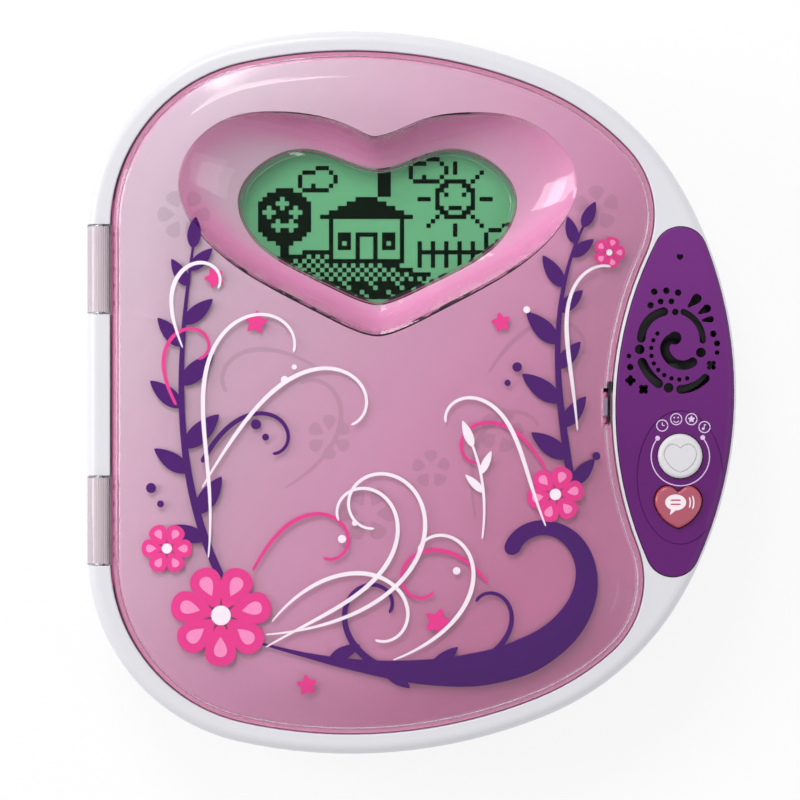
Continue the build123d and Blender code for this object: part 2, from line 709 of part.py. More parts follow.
# ---- Control panel --------------------------------------------------------------------
button_middle_y = (mode_y + (voice_tip_y + voice_top_y) / 2) / 2
panel_post_sites = [(mode_x + side * post_reach, button_middle_y) for side in (-1, 1)]
with BuildPart() as control_panel:
    add(frame_blank.part)
    extrude(panel_outline(panel_under_z), amount=panel_thickness + overshoot, mode=Mode.INTERSECT)
    panel_face = control_panel.faces().filter_by(Plane.XY).sort_by(Axis.Z)[-1]
    fillet(panel_face.outer_wire().edges(), radius=panel_edge_radius)
    with BuildSketch(Plane.XY.offset(panel_under_z - overshoot)) as openings:
        with Locations((mode_x, mode_y)):
            Circle(mode_radius + button_gap)
        add(heart(panel_under_z - overshoot, voice_x, voice_half_width, voice_tip_y, voice_top_y, button_gap))
        add(heart(
            panel_under_z - overshoot, panel_x, mic_hole_half_width,
            mic_y - mic_hole_height / 2, mic_y + mic_hole_height / 2,
        ))
    extrude(amount=panel_thickness + 2 * overshoot, mode=Mode.SUBTRACT)
    # The grille: slots in a ring round a hook, with beads, holes, clovers and petals.
    with BuildSketch(Plane((speaker_x, speaker_y, panel_under_z - overshoot))):
        with BuildLine(mode=Mode.PRIVATE) as hook:
            Spline(*hook_line)
        trace(hook.line, line_width=hook_width)
        with Locations(hook_line[0]):
            Circle(hook_head_radius)
        with Locations(hook_line[-1]):
            Circle(hook_width / 2)
        for start, middle, end, width in grille_slots:
            with BuildLine(mode=Mode.PRIVATE) as slot:
                ThreePointArc(start, middle, end)
            trace(slot.line, line_width=width)
            with Locations(start, end):
                Circle(width / 2)
        for radius, places in grille_holes:
            with Locations(*places):
                Circle(radius)
        with Locations((bead_ring[0], bead_ring[1])):
            with PolarLocations(bead_ring[2], bead_count, bead_start, bead_sweep, endpoint=True):
                Circle(bead_radius)
        for x, y, turn in clover_holes:
            with Locations((x, y)):
                Circle(clover_reach)
                with PolarLocations(clover_reach, 4, turn):
                    Circle(clover_lobe_radius)
        for x, y, turn, length, radius in petal_holes:
            reach = length - radius - petal_tip_radius
            lean = math.acos((radius - petal_tip_radius) / reach)
            with Locations(Location((x, y, 0), (0, 0, turn))):
                Circle(radius)
                with Locations((-reach, 0)):
                    Circle(petal_tip_radius)
                Polygon(
                    (-radius * math.cos(lean), -radius * math.sin(lean)),
                    (-radius * math.cos(lean), radius * math.sin(lean)),
                    (-reach - petal_tip_radius * math.cos(lean), petal_tip_radius * math.sin(lean)),
                    (-reach - petal_tip_radius * math.cos(lean), -petal_tip_radius * math.sin(lean)),
                    align=None,
                )
    extrude(amount=panel_thickness + 2 * overshoot, mode=Mode.SUBTRACT)
    # A fine groove frames the two buttons.
    with BuildSketch(Plane.XY.offset(rim_top_z - groove_depth)):
        with Locations((panel_x, oval_y)):
            Ellipse(oval_half_width, oval_half_length)
            Ellipse(oval_half_width - groove_width, oval_half_length - groove_width, mode=Mode.SUBTRACT)
    extrude(amount=groove_depth + overshoot, mode=Mode.SUBTRACT)
    # Posts under the panel carry the buttons' board.
    with BuildSketch(Plane.XY.offset(button_board_z + board_thickness)):
        with Locations(*panel_post_sites):
            Circle(panel_post_radius)
            Circle(small_screw_radius, mode=Mode.SUBTRACT)
    extrude(amount=panel_under_z - button_board_z - board_thickness)
save("control_panel", control_panel.part)

# ---- Buttons on the control panel -----------------------------------------------------
cap_top_z = rim_top_z + button_rise
flange_z = panel_under_z - fit_gap - button_flange_thickness
stem_z = flange_z - button_stem_length
with BuildPart() as mode_button:
    with BuildSketch(Plane.XY.offset(stem_z)):
        with Locations((mode_x, mode_y)):
            Circle(button_stem_radius)
    extrude(amount=button_stem_length)
    with BuildSketch(Plane.XY.offset(flange_z)):
        with Locations((mode_x, mode_y)):
            Circle(mode_radius + button_flange)
    extrude(amount=button_flange_thickness)
    with BuildSketch(Plane.XY.offset(flange_z)):
        with Locations((mode_x, mode_y)):
            Circle(mode_radius)
    extrude(amount=cap_top_z - flange_z)
    fillet(mode_button.faces().sort_by(Axis.Z)[-1].edges(), radius=cap_edge)
    with BuildSketch(Plane.XY.offset(cap_top_z - groove_depth)):
        for grow, mode in ((0.0, Mode.ADD), (-groove_width, Mode.SUBTRACT)):
            mark = heart(
                cap_top_z - groove_depth, mode_x, mode_mark_half_width,
                mode_y - mode_mark_drop, mode_y + mode_mark_rise, grow,
            )
            add(mark, mode=mode)
    extrude(amount=groove_depth + overshoot, mode=Mode.SUBTRACT)
save("mode_button", mode_button.part)

with BuildPart() as voice_button:
    with BuildSketch(Plane.XY.offset(stem_z)):
        with Locations((voice_x, (voice_tip_y + voice_top_y) / 2)):
            Circle(button_stem_radius)
    extrude(amount=button_stem_length)
    extrude(
        heart(flange_z, voice_x, voice_half_width, voice_tip_y, voice_top_y, button_flange),
        amount=button_flange_thickness,
    )
    extrude(
        heart(flange_z, voice_x, voice_half_width, voice_tip_y, voice_top_y),
        amount=cap_top_z - cap_edge - flange_z,
    )
    # The cap's edge is rounded through three hearts a quarter turn of arc apart.
    for angle in (0, 45, 90):
        drop = cap_edge * (1 - math.sin(math.radians(angle)))
        pull = cap_edge * (1 - math.cos(math.radians(angle)))
        with BuildSketch(Plane.XY.offset(cap_top_z - drop)):
            add(heart(cap_top_z - drop, voice_x, voice_half_width, voice_tip_y, voice_top_y, -pull))
    loft()
save("voice_button", voice_button.part)

# ---- Board and pad under the two buttons ----------------------------------------------
button_board_length = mode_y - voice_tip_y + 2 * mode_radius
button_board_width = 2 * mode_radius
with BuildPart() as button_board:
    with BuildSketch(Plane.XY.offset(button_board_z)):
        with Locations((mode_x, button_middle_y)):
            RectangleRounded(button_board_width, button_board_length, board_corner)
            RectangleRounded(2 * post_reach + board_ear_width, board_ear_width, board_corner)
        with Locations(*panel_post_sites):
            Circle(small_screw_radius + running_gap, mode=Mode.SUBTRACT)
    extrude(amount=board_thickness)
save("button_board", button_board.part)

with BuildPart() as button_pad:
    with BuildSketch(Plane.XY.offset(button_board_z + board_thickness)):
        with Locations((mode_x, button_middle_y)):
            RectangleRounded(
                button_board_width - 2 * pad_margin, button_board_length - 2 * pad_margin, board_corner
            )
    extrude(amount=pad_thickness)
save("button_pad", button_pad.part)

with BuildPart() as button_board_screws:
    with BuildSketch(Plane.XY.offset(button_board_z)):
        with Locations(*panel_post_sites):
            Circle(small_head_radius)
    extrude(amount=-small_head_height)
    with BuildSketch(Plane.XY.offset(button_board_z)):
        with Locations(*panel_post_sites):
            Circle(small_screw_radius)
    extrude(amount=panel_under_z - button_board_z)
save("button_board_screws", button_board_screws.part)

# ---- Speaker and microphone -----------------------------------------------------------
basket_z = panel_under_z - speaker_depth
can_radius = magnet_radius + basket_wall
cone_outer = speaker_radius - speaker_rim - 2 * running_gap
cone_low_z = basket_z + magnet_height + 2 * basket_wall
cone_seat_z = panel_under_z - 2 * cone_thickness
dome_sphere = (dome_radius**2 + dome_rise**2) / (2 * dome_rise)
with BuildPart() as speaker_basket:
    with BuildSketch(Plane.XZ.offset(-speaker_y)):
        with BuildLine():
            Polyline(
                (speaker_x, basket_z),
                (speaker_x + can_radius, basket_z),
                (speaker_x + can_radius, basket_z + magnet_height + basket_wall),
                (speaker_x + speaker_radius - cone_seat, panel_under_z - 2 * speaker_rim),
                (speaker_x + speaker_radius, panel_under_z - speaker_rim),
                (speaker_x + speaker_radius, panel_under_z),
                (speaker_x + speaker_radius - speaker_rim, panel_under_z),
                (speaker_x + speaker_radius - speaker_rim, cone_seat_z - running_gap),
                (speaker_x + speaker_radius - speaker_rim - cone_seat, cone_seat_z - running_gap),
                (speaker_x + magnet_radius, basket_z + magnet_height),
                (speaker_x + magnet_radius, basket_z + basket_wall),
                (speaker_x, basket_z + basket_wall),
                close=True,
            )
        make_face()
    revolve(axis=Axis((speaker_x, speaker_y, 0), (0, 0, 1)))
save("speaker_basket", speaker_basket.part)

with BuildPart() as speaker_magnet:
    with BuildSketch(Plane.XY.offset(basket_z + basket_wall)):
        with Locations((speaker_x, speaker_y)):
            Circle(magnet_radius - running_gap)
    extrude(amount=magnet_height - basket_wall)
save("speaker_magnet", speaker_magnet.part)

with BuildPart() as speaker_cone:
    with BuildSketch(Plane.XZ.offset(-speaker_y)):
        with BuildLine():
            RadiusArc((speaker_x, cone_low_z + dome_rise), (speaker_x + dome_radius, cone_low_z), dome_sphere)
            Polyline(
                (speaker_x + dome_radius, cone_low_z),
                (speaker_x + cone_outer - cone_seat, cone_seat_z),
                (speaker_x + cone_outer, cone_seat_z),
                (speaker_x + cone_outer, cone_seat_z + cone_thickness),
                (speaker_x + cone_outer - cone_seat, cone_seat_z + cone_thickness),
                (speaker_x + dome_radius, cone_low_z + cone_thickness),
            )
            RadiusArc(
                (speaker_x, cone_low_z + dome_rise + cone_thickness),
                (speaker_x + dome_radius, cone_low_z + cone_thickness), dome_sphere,
            )
            Line(
                (speaker_x, cone_low_z + dome_rise), (speaker_x, cone_low_z + dome_rise + cone_thickness)
            )
        make_face()
    revolve(axis=Axis((speaker_x, speaker_y, 0), (0, 0, 1)))
save("speaker_cone", speaker_cone.part)

with BuildPart() as microphone:
    with BuildSketch(Plane.XY.offset(panel_under_z - mic_height)):
        with Locations((panel_x, mic_y)):
            Circle(mic_radius)
    extrude(amount=mic_height)
save("microphone", microphone.part)

# ---- Latch solenoid and bolt ----------------------------------------------------------
bolt_tip_x = waist_x - catch_inset + bolt_rest_gap
with BuildPart() as latch_solenoid:
    with BuildSketch(Plane.YZ.offset(solenoid_x)):
        with Locations((latch_y, bolt_z)):
            Rectangle(solenoid_width, solenoid_height)
    extrude(amount=solenoid_length)
    fillet(latch_solenoid.edges().filter_by(Axis.X), radius=solenoid_edge)
    with BuildSketch(Plane.YZ.offset(solenoid_x)):
        with Locations((latch_y, bolt_z)):
            Circle(plunger_radius + running_gap)
    extrude(amount=solenoid_length - solenoid_end_wall, mode=Mode.SUBTRACT)
save("latch_solenoid", latch_solenoid.part)

with BuildPart() as latch_bolt:
    with BuildSketch(Plane.YZ.offset(bolt_tip_x)):
        with Locations((latch_y, bolt_z)):
            Rectangle(bolt_width, bolt_height)
    extrude(amount=solenoid_x - bolt_shoulder_gap - bolt_tip_x)
    chamfer(latch_bolt.faces().sort_by(Axis.X)[0].edges().filter_by(Axis.Y), length=bolt_lead)
    with BuildSketch(Plane.YZ.offset(solenoid_x - bolt_shoulder_gap)):
        with Locations((latch_y, bolt_z)):
            Circle(plunger_radius)
    extrude(amount=plunger_length)
save("latch_bolt", latch_bolt.part)

# ---- Deck: display window, keys and notepad tray --------------------------------------
ok_tip_y = key_y - ok_height / 2
ok_top_y = key_y + ok_height / 2
key_names = ("power_key", "left_key", "ok_key", "right_key", "help_key")
key_xs = [heart_x + key_pitch * (i - (len(key_names) - 1) / 2) for i in range(len(key_names))]
tray_block = plate(
    tray_floor_z - tray_wall, deck_top_z - tray_floor_z + tray_wall, tray_length + 2 * tray_wall,
    tray_width + 2 * tray_wall, tray_corner + tray_wall, tray_x, tray_y,
)
tray_room = plate(
    tray_floor_z, deck_top_z - tray_floor_z + overshoot, tray_length, tray_width,
    tray_corner, tray_x, tray_y,
)
with BuildPart() as deck_plate:
    extrude(well_outline(deck_under_z, -fit_gap), amount=deck_thickness)
    add(tray_block)
    add(tray_room, mode=Mode.SUBTRACT)
    extrude(
        window_heart(deck_under_z - overshoot, lens_grow + running_gap),
        amount=deck_thickness + 2 * overshoot, mode=Mode.SUBTRACT,
    )
    with BuildSketch(Plane.XY.offset(deck_under_z)):
        for name, x in zip(key_names, key_xs):
            if name == "ok_key":
                add(heart(deck_under_z, x, ok_half_width, ok_tip_y, ok_top_y, fit_gap))
            else:
                with Locations((x, key_y)):
                    RectangleRounded(key_length + 2 * fit_gap, key_width + 2 * fit_gap, key_corner + fit_gap)
    extrude(amount=deck_thickness, mode=Mode.SUBTRACT)
    # Pins press the main board onto its posts.
    with BuildSketch(Plane.XY.offset(mat_z)):
        with Locations(*post_sites):
            Circle(post_radius - pin_step)
    extrude(amount=deck_under_z - mat_z)
    add(latch_notch, mode=Mode.SUBTRACT)
save("deck_plate", deck_plate.part)

for name, x in zip(key_names, key_xs):
    key_top_z = deck_top_z + key_rise
    key_low_z = deck_under_z - stop_gap - key_flange_thickness
    with BuildPart() as key:
        if name == "ok_key":
            extrude(heart(key_low_z, x, ok_half_width, ok_tip_y, ok_top_y), amount=key_top_z - key_low_z)
            extrude(
                heart(key_low_z, x, ok_half_width, ok_tip_y, ok_top_y, key_flange + fit_gap),
                amount=key_flange_thickness,
            )
        else:
            with BuildSketch(Plane.XY.offset(key_low_z)):
                with Locations((x, key_y)):
                    RectangleRounded(key_length, key_width, key_corner)
            extrude(amount=key_top_z - key_low_z)
            fillet(key.faces().sort_by(Axis.Z)[-1].edges(), radius=key_edge)
            with BuildSketch(Plane.XY.offset(key_low_z)):
                with Locations((x, key_y)):
                    RectangleRounded(key_length + 2 * key_flange, key_width + 2 * key_flange, key_corner)
            extrude(amount=key_flange_thickness)
    save(name, key.part)

with BuildPart() as main_board:
    with BuildSketch(Plane.XY.offset(board_z)):
        with Locations((heart_x, board_y)):
            RectangleRounded(board_length, board_width, main_board_corner)
    extrude(amount=board_thickness)
save("main_board", main_board.part)

with BuildPart() as key_mat:
    with BuildSketch(Plane.XY.offset(mat_z)):
        with Locations((heart_x, key_y)):
            RectangleRounded(
                key_xs[-1] - key_xs[0] + key_length + 2 * key_mat_margin,
                ok_height + 2 * key_mat_margin, key_mat_margin,
            )
    extrude(amount=key_mat_thickness)
save("key_mat", key_mat.part)

# ---- Display --------------------------------------------------------------------------
glass_z = deck_under_z - stop_gap - glass_thickness
holder_z = glass_z - running_gap - holder_floor
with BuildPart() as display_holder:
    with BuildSketch(Plane.XY.offset(holder_z)):
        with Locations((heart_x, glass_y)):
            RectangleRounded(glass_length + 2 * holder_rim, glass_width + 2 * holder_rim, holder_rim)
    extrude(amount=deck_under_z - holder_z)
    with BuildSketch(Plane.XY.offset(holder_z + holder_floor)):
        with Locations((heart_x, glass_y)):
            Rectangle(glass_length + 2 * running_gap, glass_width + 2 * running_gap)
    extrude(amount=deck_under_z - holder_z, mode=Mode.SUBTRACT)
save("display_holder", display_holder.part)

with BuildPart() as display_glass:
    with BuildSketch(Plane.XY.offset(glass_z)):
        with Locations((heart_x, glass_y)):
            Rectangle(glass_length, glass_width)
    extrude(amount=glass_thickness)
save("display_glass", display_glass.part)

with BuildPart() as window_lens:
    extrude(window_heart(deck_under_z, lens_grow), amount=lens_thickness)
save("window_lens", window_lens.part)

# ---- Notepad in its tray --------------------------------------------------------------
pad_length = tray_length - 2 * notepad_gap
pad_width = tray_width - 2 * notepad_gap
notepad_z = tray_floor_z
with BuildPart() as notepad:
    with BuildSketch(Plane.XY.offset(notepad_z)):
        with Locations((tray_x, tray_y)):
            RectangleRounded(
                pad_length - 2 * notepad_overhang, pad_width - 2 * notepad_overhang, tray_corner - notepad_gap
            )
    extrude(amount=notepad_height)
    with BuildSketch(Plane.XY.offset(notepad_z + notepad_height)):
        with Locations((tray_x, tray_y)):
            RectangleRounded(pad_length, pad_width, tray_corner - notepad_gap)
    extrude(amount=notepad_cover)
save("notepad", notepad.part)

# ---- Cover: clear shell over inner shell, closed by a liner ---------------------------
inner_inset = clear_wall + layer_gap
hollow_inset = inner_inset + inner_wall
liner_inset = hollow_inset + layer_gap
liner_top_z = cover_bottom_z + liner_thickness
catch_slot = plate(
    cover_bottom_z - overshoot, cover_top_z - cover_bottom_z, catch_thickness + 2 * layer_gap,
    slot_length, slot_corner, catch_x + catch_thickness / 2, latch_y,
)
clear_solid = cover_solid(0.0, cover_bottom_z)
clear_core = cover_solid(clear_wall, cover_bottom_z - overshoot)
inner_solid = cover_solid(inner_inset, cover_bottom_z)
inner_core = cover_solid(hollow_inset, cover_bottom_z - overshoot)

with BuildPart() as knuckles:
    for y in knuckle_ys:
        with BuildSketch(Plane.XZ.offset(-y - knuckle_length / 2)):
            with Locations((hinge_x, hinge_z)):
                Circle(knuckle_radius)
            with Locations(((hinge_x + cover_left + clear_wall / 2) / 2, hinge_z)):
                Rectangle(cover_left + clear_wall / 2 - hinge_x, arm_height)
        extrude(amount=knuckle_length)
        with BuildSketch(Plane.XY.offset(hinge_z - arm_height / 2)):
            with Locations((cover_left - nub_inset, y)):
                with GridLocations(nub_pitch, nub_pitch, 1, nub_count):
                    Circle(nub_radius)
        extrude(amount=arm_height + nub_rise)
        with BuildSketch(Plane.XZ.offset(-y - knuckle_length / 2)):
            with Locations((hinge_x, hinge_z)):
                Circle(pin_radius + running_gap)
        extrude(amount=knuckle_length, mode=Mode.SUBTRACT)

with BuildPart() as cover_shell:
    add(clear_solid)
    add(clear_core, mode=Mode.SUBTRACT)
    add(knuckles.part)
    add(catch_slot, mode=Mode.SUBTRACT)
save("cover_shell", cover_shell.part)

with BuildPart() as cover_posts:
    with BuildSketch(Plane.XY.offset(liner_top_z)):
        with Locations(*cover_sites):
            Circle(cover_boss_radius)
    extrude(amount=cover_top_z - liner_top_z)
    add(inner_solid, mode=Mode.INTERSECT)

with BuildPart() as cover_inner:
    add(inner_solid)
    add(inner_core, mode=Mode.SUBTRACT)
    add(cover_posts.part)
    with BuildSketch(Plane.XY.offset(liner_top_z)):
        with Locations(*cover_sites):
            Circle(small_screw_radius)
    extrude(amount=cover_screw_bore, mode=Mode.SUBTRACT)
    add(catch_slot, mode=Mode.SUBTRACT)
    with Locations((catch_x - stop_gap, latch_y, cover_bottom_z)):
        Box(
            2 * catch_relief_half_length, catch_width + 2 * fit_gap,
            liner_thickness + catch_foot_thickness + catch_relief,
            align=(Align.CENTER, Align.CENTER, Align.MIN), mode=Mode.SUBTRACT,
        )
save("cover_inner", cover_inner.part)

with BuildPart() as cover_liner:
    extrude(cover_outline(cover_bottom_z, liner_inset), amount=liner_thickness)
    extrude(
        window_heart(cover_bottom_z, liner_inset * layer_spread), amount=liner_thickness, mode=Mode.SUBTRACT
    )
    with BuildSketch(Plane.XY.offset(cover_bottom_z)):
        with Locations(*cover_sites):
            Circle(small_screw_radius + running_gap)
    extrude(amount=liner_thickness, mode=Mode.SUBTRACT)
    with BuildSketch(Plane.XY.offset(cover_bottom_z)):
        with Locations(*cover_sites):
            Circle(small_head_radius + running_gap)
    extrude(amount=small_head_height, mode=Mode.SUBTRACT)
save("cover_liner", cover_liner.part)

with BuildPart() as cover_screws:
    with BuildSketch(Plane.XY.offset(cover_bottom_z + layer_gap)):
        with Locations(*cover_sites):
            Circle(small_head_radius)
    extrude(amount=small_head_height - layer_gap)
    with BuildSketch(Plane.XY.offset(cover_bottom_z + layer_gap)):
        with Locations(*cover_sites):
            Rectangle(small_slot[0], small_slot[1])
            Rectangle(small_slot[1], small_slot[0])
    extrude(amount=small_slot[2], mode=Mode.SUBTRACT)
    with BuildSketch(Plane.XY.offset(cover_bottom_z + small_head_height)):
        with Locations(*cover_sites):
            Circle(small_screw_radius)
    extrude(amount=cover_screw_length)
save("cover_screws", cover_screws.part)

with BuildPart() as cover_catch:
    with BuildSketch(Plane.YZ.offset(catch_x)):
        with Locations((latch_y, (catch_tip_z + catch_top_z) / 2)):
            RectangleRounded(catch_width, catch_top_z - catch_tip_z, catch_corner)
        with Locations((latch_y, bolt_z)):
            Rectangle(bolt_width + 2 * bolt_window_gap, bolt_height + 2 * bolt_window_gap, mode=Mode.SUBTRACT)
    extrude(amount=catch_thickness)
    with BuildSketch(Plane.XY.offset(liner_top_z)):
        with Locations((catch_x - catch_foot_length / 2, latch_y)):
            Rectangle(catch_foot_length, catch_width)
    extrude(amount=catch_foot_thickness)
save("cover_catch", cover_catch.part)
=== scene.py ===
# %% [markdown]
# # An electronic diary, dressed in Blender
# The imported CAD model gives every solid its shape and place, and this script gives the solids
# their finishes. It adds what is too thin for CAD: the print inside the clear cover, the relief
# under it, the marks on the control panel and the keys, the picture on the display and a few
# thin trims. The CAD pieces keep their shapes and places.

# %% Load the frame
import math

import bpy
import numpy as np
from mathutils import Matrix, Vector
from mathutils.bvhtree import BVHTree


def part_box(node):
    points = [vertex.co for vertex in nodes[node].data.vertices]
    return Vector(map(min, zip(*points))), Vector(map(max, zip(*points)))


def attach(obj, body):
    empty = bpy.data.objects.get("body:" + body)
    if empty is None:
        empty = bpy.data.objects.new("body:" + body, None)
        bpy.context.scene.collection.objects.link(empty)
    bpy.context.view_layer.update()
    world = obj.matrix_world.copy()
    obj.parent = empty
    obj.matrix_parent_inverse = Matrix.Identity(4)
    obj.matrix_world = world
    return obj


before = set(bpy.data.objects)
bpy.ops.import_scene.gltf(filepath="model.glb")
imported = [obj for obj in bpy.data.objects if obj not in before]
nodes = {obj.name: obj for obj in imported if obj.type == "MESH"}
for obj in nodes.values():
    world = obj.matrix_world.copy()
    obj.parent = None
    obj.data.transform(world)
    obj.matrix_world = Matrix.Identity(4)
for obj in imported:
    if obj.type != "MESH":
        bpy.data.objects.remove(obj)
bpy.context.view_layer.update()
scene = bpy.context.scene
MM = 0.001

# %% [markdown]
# ## Camera
# The photograph looks straight down from far away, so nothing shows its side walls. A camera
# without perspective would show none either, but a long lens 1.2 m above the cover keeps the
# little perspective that a real photograph has. It frames 252 mm of width.

# %% Camera
FRAME_WIDTH = 252 * MM
CAMERA_HEIGHT = 1.2
COVER_PLANE = 35 * MM
VIEW_MIDDLE = (-3.78 * MM, -2.36 * MM)
SENSOR_WIDTH = 36
FAR_LIMIT = 10

camera_data = bpy.data.cameras.new("camera")
camera_data.sensor_width = SENSOR_WIDTH
camera_data.lens = SENSOR_WIDTH * CAMERA_HEIGHT / FRAME_WIDTH
camera_data.clip_end = FAR_LIMIT
camera = bpy.data.objects.new("camera", camera_data)
camera.location = (*VIEW_MIDDLE, COVER_PLANE + CAMERA_HEIGHT)
scene.collection.objects.link(camera)
scene.camera = camera
print("lens", round(camera_data.lens, 1), "mm")

# %% [markdown]
# ## Studio light
# The photo shows soft light from all round, as in a white tent with a few lamps outside it. A
# world of one pale colour stands for the tent. The rim is brightest at the top and dark at the
# bottom, so the key lamp stands above the top edge. A low lamp at the left gives the pale haze
# on the cover's left half and the bright streak on the funnel's right slope. A weak one at the
# right fills the shadows there. A picture of a real studio could light it too, but lamps can
# be placed one by one until each streak lies where the photo has it.

# %% World
WORLD_STRENGTH = 0.66
TENT_WHITE = (250, 250, 252)
scene.view_settings.view_transform = "Standard"


def rgb(colour):
    """A display colour, 0 to 255, as linear numbers.

    With c as a share of 255: ((c + 0.055) / 1.055)^2.4, or c / 12.92 where c is under 0.04045
    """
    parts = np.array(colour) / 255
    linear = np.where(parts > 0.04045, ((parts + 0.055) / 1.055) ** 2.4, parts / 12.92)
    return (*linear.tolist(), 1.0)


world = bpy.data.worlds.new("studio")
world.use_nodes = True
background = world.node_tree.nodes["Background"]
background.inputs["Color"].default_value = rgb(TENT_WHITE)
background.inputs["Strength"].default_value = WORLD_STRENGTH
scene.world = world
print("world strength", WORLD_STRENGTH)

# %% Lamps
# Each lamp: its name, its place and its side in metres, and its power in watts.
LAMPS = (
    ("key", (-0.32, 0.88, 0.85), 0.5, 5.0),
    ("side", (-1.05, 0.18, 0.55), 0.55, 4.6),
    ("fill", (1.0, -0.25, 0.9), 0.7, 1.7),
)


def lamp(name, place, size, power):
    """A square area lamp at place, aimed at the object's middle."""
    data = bpy.data.lights.new(name, "AREA")
    data.size = size
    data.energy = power
    obj = bpy.data.objects.new(name, data)
    obj.location = place
    obj.rotation_euler = (-Vector(place)).to_track_quat("-Z", "Y").to_euler()
    scene.collection.objects.link(obj)


for name, place, size, power in LAMPS:
    lamp(name, place, size, power)
print("lamps:", len(LAMPS))

# %% [markdown]
# ## Floor
# The diary lies on a sweep that the photo shows as pure white. A floor lit as brightly as that
# would throw too much light up at the walls. So this one is plain white for every ray but the
# camera's, which mostly see a glow instead.

# %% Material helpers


def material(name, colour, roughness, **sockets):
    """A Principled material with these values on its own sockets."""
    made = bpy.data.materials.new(name)
    made.use_nodes = True
    shader = principled(made)
    shader.inputs["Base Color"].default_value = colour
    shader.inputs["Roughness"].default_value = roughness
    for socket, value in sockets.items():
        shader.inputs[socket.replace("_", " ")].default_value = value
    return made


def principled(made):
    """The material's Principled shader."""
    return made.node_tree.nodes["Principled BSDF"]


def feed(tree, socket, value):
    """Gives a socket a number or a colour, or links another socket to it."""
    if isinstance(value, (int, float, tuple)):
        socket.default_value = value
    else:
        tree.links.new(value, socket)


def math_node(tree, operation, first, second):
    """One arithmetic step between two sockets or numbers."""
    node = tree.nodes.new("ShaderNodeMath")
    node.operation = operation
    feed(tree, node.inputs[0], first)
    feed(tree, node.inputs[1], second)
    return node.outputs[0]


def blend_shaders(tree, share, first, second):
    """Sends first to the output where share is 0, and second where it is 1."""
    mix = tree.nodes.new("ShaderNodeMixShader")
    tree.links.new(share, mix.inputs["Fac"])
    tree.links.new(first.outputs[0], mix.inputs[1])
    tree.links.new(second.outputs[0], mix.inputs[2])
    tree.links.new(mix.outputs[0], tree.nodes["Material Output"].inputs["Surface"])


print("helpers for materials")

# %% Floor
FLOOR_REACH = 3.0
GLOW_SHARE = 0.8


def floor():
    """A large square at z = 0."""
    corners = [(FLOOR_REACH * x, FLOOR_REACH * y, 0) for x, y in ((-1, -1), (1, -1), (1, 1), (-1, 1))]
    mesh = bpy.data.meshes.new("floor")
    mesh.from_pydata(corners, [], [(0, 1, 2, 3)])
    obj = bpy.data.objects.new("floor", mesh)
    scene.collection.objects.link(obj)
    made = material("floor_white", rgb(TENT_WHITE), 0.9)
    tree = made.node_tree
    glow = tree.nodes.new("ShaderNodeEmission")
    path = tree.nodes.new("ShaderNodeLightPath")
    seen = math_node(tree, "MULTIPLY", path.outputs["Is Camera Ray"], GLOW_SHARE)
    blend_shaders(tree, seen, principled(made), glow)
    mesh.materials.append(made)


floor()
print("floor", 2 * FLOOR_REACH, "m wide")

# %% [markdown]
# ## Moulded plastic
# Most of the diary is injection-moulded plastic, which is never quite even: the polish varies a
# little, the surface waves by a few thousandths of a millimetre, and the colour is slightly
# mottled. A single colour and roughness would look like a drawing, and a photographed texture
# would show its repeats. So one node group gives each material a slightly uneven colour and
# roughness and a very shallow bump, all from noise in the piece's own coordinates.

# %% Noise and mixed colours


def noise(tree, scale, detail=2.0):
    """Object-space noise with this many waves to a metre."""
    place = tree.nodes.new("ShaderNodeTexCoord")
    node = tree.nodes.new("ShaderNodeTexNoise")
    feed(tree, node.inputs["Scale"], scale)
    node.inputs["Detail"].default_value = detail
    tree.links.new(place.outputs["Object"], node.inputs["Vector"])
    return node.outputs["Fac"]


def mix_colour(tree, share, first, second):
    """A colour between two sockets or colours: first where share is 0, second where it is 1."""
    node = tree.nodes.new("ShaderNodeMix")
    node.data_type = "RGBA"
    # For colours, the node's inputs are 6 and 7 and its output is 2.
    feed(tree, node.inputs["Factor"], share)
    feed(tree, node.inputs[6], first)
    feed(tree, node.inputs[7], second)
    return node.outputs[2]


print("noise and mixed colours")

# %% A node group for moulded plastic
# Waves to a metre of the mottled colour, the uneven polish and the wavy surface.
MOTTLE, POLISH, WAVINESS = 14.0, 900.0, 90.0
POLISH_SPREAD, NOISE_MIDDLE = 0.12, 0.5
WAVE_TO_GRAIN = 3.0
GREY, DARK_GREY = (0.8, 0.8, 0.8, 1), (0.7, 0.7, 0.7, 1)
PLASTIC_INPUTS = {
    "Light": ("Color", GREY), "Dark": ("Color", DARK_GREY),
    "Roughness": ("Float", 0.35), "Grain": ("Float", 2500.0),
}
PLASTIC_OUTPUTS = {"Color": "Color", "Roughness": "Float", "Height": "Float"}


def new_group(name, inputs, outputs):
    """A shader node group with these named sockets; each input is (kind, default)."""
    group = bpy.data.node_groups.new(name, "ShaderNodeTree")
    for label, (kind, value) in inputs.items():
        socket = group.interface.new_socket(label, in_out="INPUT", socket_type="NodeSocket" + kind)
        socket.default_value = value
    for label, kind in outputs.items():
        group.interface.new_socket(label, in_out="OUTPUT", socket_type="NodeSocket" + kind)
    return group, group.nodes.new("NodeGroupInput").outputs, group.nodes.new("NodeGroupOutput").inputs


